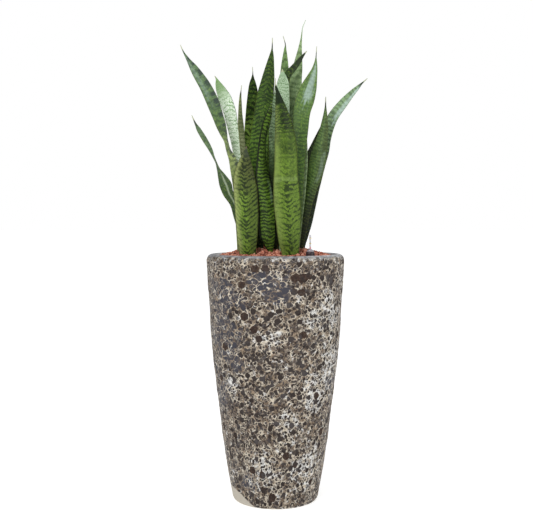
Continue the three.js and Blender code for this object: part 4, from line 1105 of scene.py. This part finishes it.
FIRST_SEED = 50
for number, (name, (cup, thickness, stations)) in enumerate(LEAVES.items()):
    look = {**PLAIN_LOOK, **LOOKS.get(name, {})}
    blade = leaf_blade(name + "_blade", cup, thickness, stations, number + FIRST_SEED)
    show(blade, leaf_skin(name, look, number), "plant", slot_of(name), name)

# %% [markdown]
# ## The granules
# Fired clay granules are broken, rounded crumbs, 5 to 9 mm across. One bed fills the pot, and a few
# thousand separate grains lie on it, each with its own shape, turn and shade of red brown.

# %% The heap round the leaves
GRANULE_EDGE, MOUND_HEIGHT = 659 * MM, 31 * MM
MOUND_CENTRE, MOUND_REACH = np.array([-5, 25]) * MM, np.array([135, 75]) * MM
BED_RADIUS = NECK_RADIUS - 0.8 * MM
BED_FLOOR_RADIUS, BED_CLEARANCE = 60 * MM, 1 * MM
BED_SIDES, BED_RINGS = 96, 40
GRAIN_COVER = 2.2 * MM          # the bed lies this far under the heap's surface, and the grains hide it


def granule_height(x, y):
    dx, dy = (x - MOUND_CENTRE[0]) / MOUND_REACH[0], (y - MOUND_CENTRE[1]) / MOUND_REACH[1]
    edge = np.maximum(1 - (np.hypot(x, y) / BED_RADIUS) ** 4, 0)
    return GRANULE_EDGE + MOUND_HEIGHT * np.exp(-(dx * dx + dy * dy)) * edge


bed_turns = np.arange(BED_SIDES) * 2 * math.pi / BED_SIDES
wall_radii = [BED_FLOOR_RADIUS, *(inner_radii[::-1] - BED_CLEARANCE)]
wall_levels = [POT_FLOOR + 2 * BED_CLEARANCE, *(inner_levels[::-1] + BED_CLEARANCE)]
bed_rows = plain_rows(wall_radii, wall_levels, bed_turns)
for radius in np.linspace(BED_RADIUS, HUB, BED_RINGS):
    x, y = radius * np.cos(bed_turns), radius * np.sin(bed_turns)
    bed_rows.append(np.stack([x, y, granule_height(x, y) - GRAIN_COVER], -1))
bed = ringed("granule_bed_surface", bed_rows)
print("bed rows", len(bed_rows))

# %% Crumbs
GRAIN_SHAPES = 12
CUTS, CUT_DEPTHS = 5, (0.55, 0.8)
UNEVENNESS = (0.86, 1.12)


def crumb(seed, detail=1):
    """A broken, rounded crumb of radius 1, as corners and faces."""
    bpy.ops.mesh.primitive_ico_sphere_add(subdivisions=detail, radius=1)
    ball = bpy.context.object.data
    corners = np.array([v.co for v in ball.vertices])
    faces = np.array([f.vertices for f in ball.polygons])
    bpy.data.meshes.remove(ball)
    shape = np.random.default_rng(seed)
    for _ in range(CUTS):
        cut = shape.normal(size=3)
        cut /= np.linalg.norm(cut)
        depth = corners @ cut
        corners = corners - np.outer(np.maximum(depth - shape.uniform(*CUT_DEPTHS), 0), cut)
    return corners * shape.uniform(*UNEVENNESS, corners.shape[0])[:, None], faces


def turning(numbers):
    """A random rotation matrix."""
    q = numbers.normal(size=4)
    w, x, y, z = q / np.linalg.norm(q)
    return np.array([[1 - 2 * (y * y + z * z), 2 * (x * y - z * w), 2 * (x * z + y * w)],
                     [2 * (x * y + z * w), 1 - 2 * (x * x + z * z), 2 * (y * z - x * w)],
                     [2 * (x * z - y * w), 2 * (y * z + x * w), 1 - 2 * (x * x + y * y)]])


shapes = [crumb(seed) for seed in range(GRAIN_SHAPES)]
print("crumbs", len(shapes), "with", len(shapes[0][1]), "faces each")

# %% Separate grains
GRAINS = 3300
GRAIN_SIZES = (2.5, 4.3)        # radii in millimetres
GRAIN_SINK, GRAIN_LIFTS = 2.0 * MM, (-1.4, 1.8)
WALL_GAP = 0.5 * MM
GAUGE = np.array([91, -80]) * MM
GAUGE_CLEAR = 14.5 * MM         # no grain's middle lies nearer to the gauge's axis
grain_points, grain_faces, grain_tones = [], [], []
strewn = np.random.default_rng(21)
for _ in range(GRAINS):
    radius = strewn.uniform(*GRAIN_SIZES) * MM
    out = (BED_RADIUS - radius - WALL_GAP) * math.sqrt(strewn.uniform(0, 1))
    turn = strewn.uniform(0, 2 * math.pi)
    x, y = out * math.cos(turn), out * math.sin(turn)
    if math.hypot(x - GAUGE[0], y - GAUGE[1]) < GAUGE_CLEAR:
        continue
    corners, faces = shapes[strewn.integers(len(shapes))]
    z = granule_height(x, y) - GRAIN_SINK + strewn.uniform(*GRAIN_LIFTS) * MM
    grain_faces.append(faces + len(grain_tones))
    grain_points.append(corners @ turning(strewn).T * radius * strewn.uniform(0.8, 1.2, 3) + (x, y, z))
    grain_tones.extend([strewn.uniform()] * len(corners))
grain_mesh = bpy.data.meshes.new("loose_grains")
grain_mesh.from_pydata(np.vstack(grain_points), [], np.vstack(grain_faces).tolist())
grain_mesh.attributes.new("shade", "FLOAT", "POINT").data.foreach_set("value", grain_tones)
grains = place("loose_grains", grain_mesh)
print("grains", len(grain_points), "triangles", len(grain_mesh.polygons))

# %% Fired clay
CLAY_STOPS = [(0.0, tone(72, 34, 28)), (0.35, tone(158, 88, 70)),
              (0.65, tone(206, 128, 104)), (1.0, tone(242, 184, 158))]
PIT_BROWN, CLAY_DUST = tone(92, 48, 40), tone(226, 176, 154)


def fired_clay(name, each_grain, lighter):
    """Red-brown clay, dusty and pitted. Its shade is stored for each grain, or else it drifts."""
    f = Finish(name, Specular_IOR_Level=0.25)
    here = f.body_place()
    shade = f.stored("shade", "Fac") if each_grain else f.noise(here, 150, 2)
    colour = f.node("ShaderNodeValToRGB", {"stops": CLAY_STOPS}, {0: shade + lighter})
    dust, pits = f.noise(here, 900, 3), f.noise(here, 420, 2)
    colour = f.mix(f.step(pits, 0.46, 0.36) * 0.5, colour, PIT_BROWN)
    f.feed(Base_Color=f.mix(f.step(dust, 0.5, 0.75) * 0.3, colour, CLAY_DUST))
    f.feed(Roughness=0.85 + (dust - 0.5) * 0.2)
    f.bump(dust + pits, 0.6 * MM, 0.9)
    return f


show(bed, fired_clay("fired clay", False, 0.0), "plant", "clay_granules", "granule_bed")
show(grains, fired_clay("fired clay grains", True, 0.07), "plant", "clay_granules")
print("bed and grains finished")

# %% The larger lumps
# Each lump is (x, y, size, turn), in millimetres and degrees
LUMPS = [(6, -66, 17, 20), (-34, -66, 14, 70), (-20, -22, 13, 130), (78, -32, 16, 200), (58, -88, 12, 260)]
LUMP_SHARES = np.array([1, 0.82, 0.72])
LUMP_DETAIL, LUMP_LIFT = 4, 0.2
FLATTEST = 0.8                  # the deepest cut comes this near to the lump's middle


def lump(number, size, turn):
    """A lump's corners about its own middle, in metres, and its faces."""
    corners, faces = crumb(80 + number, LUMP_DETAIL)
    rough = np.random.default_rng(90 + number)
    coarse = np.sin(corners @ rough.normal(size=3) * 7)
    fine = np.sin(corners @ rough.normal(size=3) * 17)
    out = np.linalg.norm(corners, axis=1)[:, None]
    corners = corners / out * np.clip(out, FLATTEST, 1) * (1 + 0.05 * coarse + 0.03 * fine)[:, None]
    swing = math.radians(turn)
    spin = [[math.cos(swing), math.sin(swing), 0], [-math.sin(swing), math.cos(swing), 0], [0, 0, 1]]
    return corners * LUMP_SHARES * size / 2 * MM @ np.array(spin), faces


lump_clay = fired_clay("fired clay lumps", False, 0.3)
for number, (x, y, size, turn) in enumerate(LUMPS):
    corners, faces = lump(number, size, turn)
    level = granule_height(x * MM, y * MM) + LUMP_LIFT * size * MM
    mesh = bpy.data.meshes.new(f"fired_lump_{number + 1}")
    mesh.from_pydata(corners + (x * MM, y * MM, level), [], faces.tolist())
    show(place(mesh.name, mesh), lump_clay, "plant", "clay_granules", f"clay_lump_{number + 1}")
print("lumps", len(LUMPS))

# %% [markdown]
# ## The water gauge
# A float rises with the water in a dark housing and lifts a red pointer in a clear sight tube. The tube and
# the hood under it are one moulding, thicker at the hood, so the finish is less clear there. The pointer is
# only a few millimetres thick, and a weak glow keeps its red from drowning in the tube. The two yellow
# marks on the tube are rings, so that they show from every side.

# %% The gauge's plastics
AXIS_HOLE = 0.02                # a point on the axis is drawn out to this radius, in millimetres


def turned_piece(name, profile, sides=40, closed=False):
    """A piece that is round about the gauge's axis, from (radius, height) pairs in millimetres."""
    around = np.arange(sides) * 2 * math.pi / sides
    radii = [max(radius, AXIS_HOLE) * MM for radius, _ in profile]
    rings = plain_rows(radii, [height * MM for _, height in profile], around)
    return ringed(name, np.array(rings) + (*GAUGE, 0), joined=closed)


def gauge_finish(name, colour, **settings):
    """A smooth plastic with a little dirt on it."""
    f = Finish(name, **settings)
    dirt = f.noise(f.body_place(), 260, 3)
    f.feed(Base_Color=f.mix(f.step(dirt, 0.45, 0.75) * 0.25, colour, tone(150, 130, 120)))
    f.feed(Roughness=0.22 + dirt * 0.25)
    f.bump(dirt, 0.1 * MM, 0.4)
    return f


def clear_finish():
    f = gauge_finish("clear plastic", tone(184, 182, 192), Coat_Weight=0.6)
    hood_share = f.step(f.parts(f.body_place())[2], 681 * MM, 677 * MM)
    f.feed(Alpha=hood_share * 0.32 + 0.26)
    return f


POINTER_RED = tone(220, 40, 16)
dark_plastic = gauge_finish("dark plastic", tone(48, 36, 44))
white_plastic = gauge_finish("float plastic", tone(226, 222, 212))
# The pointer's weak glow is painted light: the plastic is no lamp.
glowing_red_plastic = gauge_finish("pointer plastic", POINTER_RED, Emission_Color=POINTER_RED, Emission_Strength=0.5)
yellow_paint = gauge_finish("scale paint", tone(214, 186, 70))
print("plastics are ready")

# %% The gauge's pieces
housing = [(9.6, 487.3), (11.4, 487.3), (11.4, 665), (11.4, 668), (11.2, 670.4), (10.4, 672), (9.6, 672)]
hood = [(8.99, 672.3), (10.2, 672.3), (10.2, 673.5), (7.2, 676.6), (4.4, 679), (3.3, 680.2), (3, 681.4),
        (3, 716), (2.6, 716.8), (2.0, 717), (0.0, 717), (0.0, 715.8), (2.1, 715.4), (2.1, 678.1),
        (5.4, 675.2)]
foot = [(2.5, 484), (11.4, 484), (11.4, 487), (2.5, 487)]
float_piece = [(0, 487.3), (7.6, 487.3), (8.6, 488.3), (8.6, 520.3), (7.6, 521.3), (0, 521.3)]
pointer = [(0, 521.6), (0.8, 521.6), (0.8, 679), (1.7, 679.6), (1.7, 683.4), (0.8, 684), (0, 684)]
show(turned_piece("gauge_body", housing, closed=True), dark_plastic, "plant", "gauge_dark", "gauge_housing")
sight_tube = turned_piece("gauge_window", hood, closed=True)
show(sight_tube, clear_finish(), "plant", "gauge_clear", "gauge_sight_tube")
show(turned_piece("gauge_plug", foot, closed=True), dark_plastic, "plant", "gauge_dark", "gauge_foot")
show(turned_piece("gauge_bobber", float_piece), white_plastic, "float", "gauge_white", "gauge_float")
show(turned_piece("gauge_needle", pointer, sides=20), glowing_red_plastic, "float", "gauge_red", "gauge_pointer")
for label, level in (("low", 693.6), ("high", 707.6)):
    ring = [(3.02, level - 0.8), (3.12, level - 0.7), (3.12, level + 0.7), (3.02, level + 0.8)]
    show(turned_piece(f"gauge_mark_{label}", ring, closed=True), yellow_paint, "plant", "gauge_white")
print("gauge finished")

# %% [markdown]
# ## The creeping stems
# The leaves rise from thick pale stems that creep through the granules. They are out of sight, but they are
# part of the plant, so they keep the solid model's shape and get a corky skin.

# %% Creeping stems
def stem_skin():
    f = Finish("stem skin", Specular_IOR_Level=0.3)
    cork = f.noise(f.body_place(), 120, 4)
    f.feed(Base_Color=f.mix(f.step(cork, 0.4, 0.65), tone(206, 176, 112), tone(150, 112, 62)))
    f.feed(Roughness=0.6 + cork * 0.25)
    f.bump(cork, 0.8 * MM, 0.7)
    return f


stem_finish = stem_skin()
for stem in ("left", "middle", "centre", "right"):
    node = frame["nodes"]["rhizome_" + stem]
    node.data.materials.clear()
    node.data.materials.append(stem_finish.material)
print("stems finished")

# %% [markdown]
# ## Floor and surroundings
# The floor is plain and nearly white. It glows a little, and more so farther off, so that it runs into the
# white of the surroundings without a horizon. The surroundings light the plant softly from all sides.

# %% Floor and sky
FLOOR_REACH, FLOOR_SIDES = 60, 64
FLOOR_DROP = 0.6 * MM           # keeps the floor just clear of the pot's foot
GLOW_FROM, GLOW_TO = 1.0, 7.0   # the glow grows between these distances from the pot
WHITE, BRIGHTER = (1, 1, 1, 1), (1.4, 1.4, 1.4, 1)
SKY_LIGHT, SKY_SEEN = 0.38, 1.0
floor_turns = np.arange(FLOOR_SIDES) * 2 * math.pi / FLOOR_SIDES
floor_edge = [(FLOOR_REACH * math.cos(t), FLOOR_REACH * math.sin(t), 0) for t in floor_turns]
floor_mesh = bpy.data.meshes.new("floor")
floor_mesh.from_pydata(floor_edge, [], [range(FLOOR_SIDES)])
floor = place("floor", floor_mesh, (0, 0, -FLOOR_DROP))
paper = Finish("white paper", Base_Color=(0.78, 0.78, 0.78, 1), Roughness=0.9, Specular_IOR_Level=0.1,
               Emission_Strength=0.60)
from_middle = paper.node("ShaderNodeVectorMath", {"operation": "LENGTH"}, {0: paper.body_place()}, "Value")
paper.feed(Emission_Color=paper.mix(paper.step(from_middle, GLOW_FROM, GLOW_TO), WHITE, BRIGHTER))
floor_mesh.materials.append(paper.material)
sky = bpy.data.worlds.new("studio")
sky.use_nodes = True
scene.world = sky
tree = sky.node_tree
ray = tree.nodes.new("ShaderNodeLightPath")
strength = tree.nodes.new("ShaderNodeMix")
strength.inputs["A"].default_value, strength.inputs["B"].default_value = SKY_LIGHT, SKY_SEEN
tree.links.new(ray.outputs["Is Camera Ray"], strength.inputs["Factor"])
tree.nodes["Background"].inputs["Color"].default_value = WHITE
tree.links.new(strength.outputs["Result"], tree.nodes["Background"].inputs["Strength"])
print("floor and sky are ready")
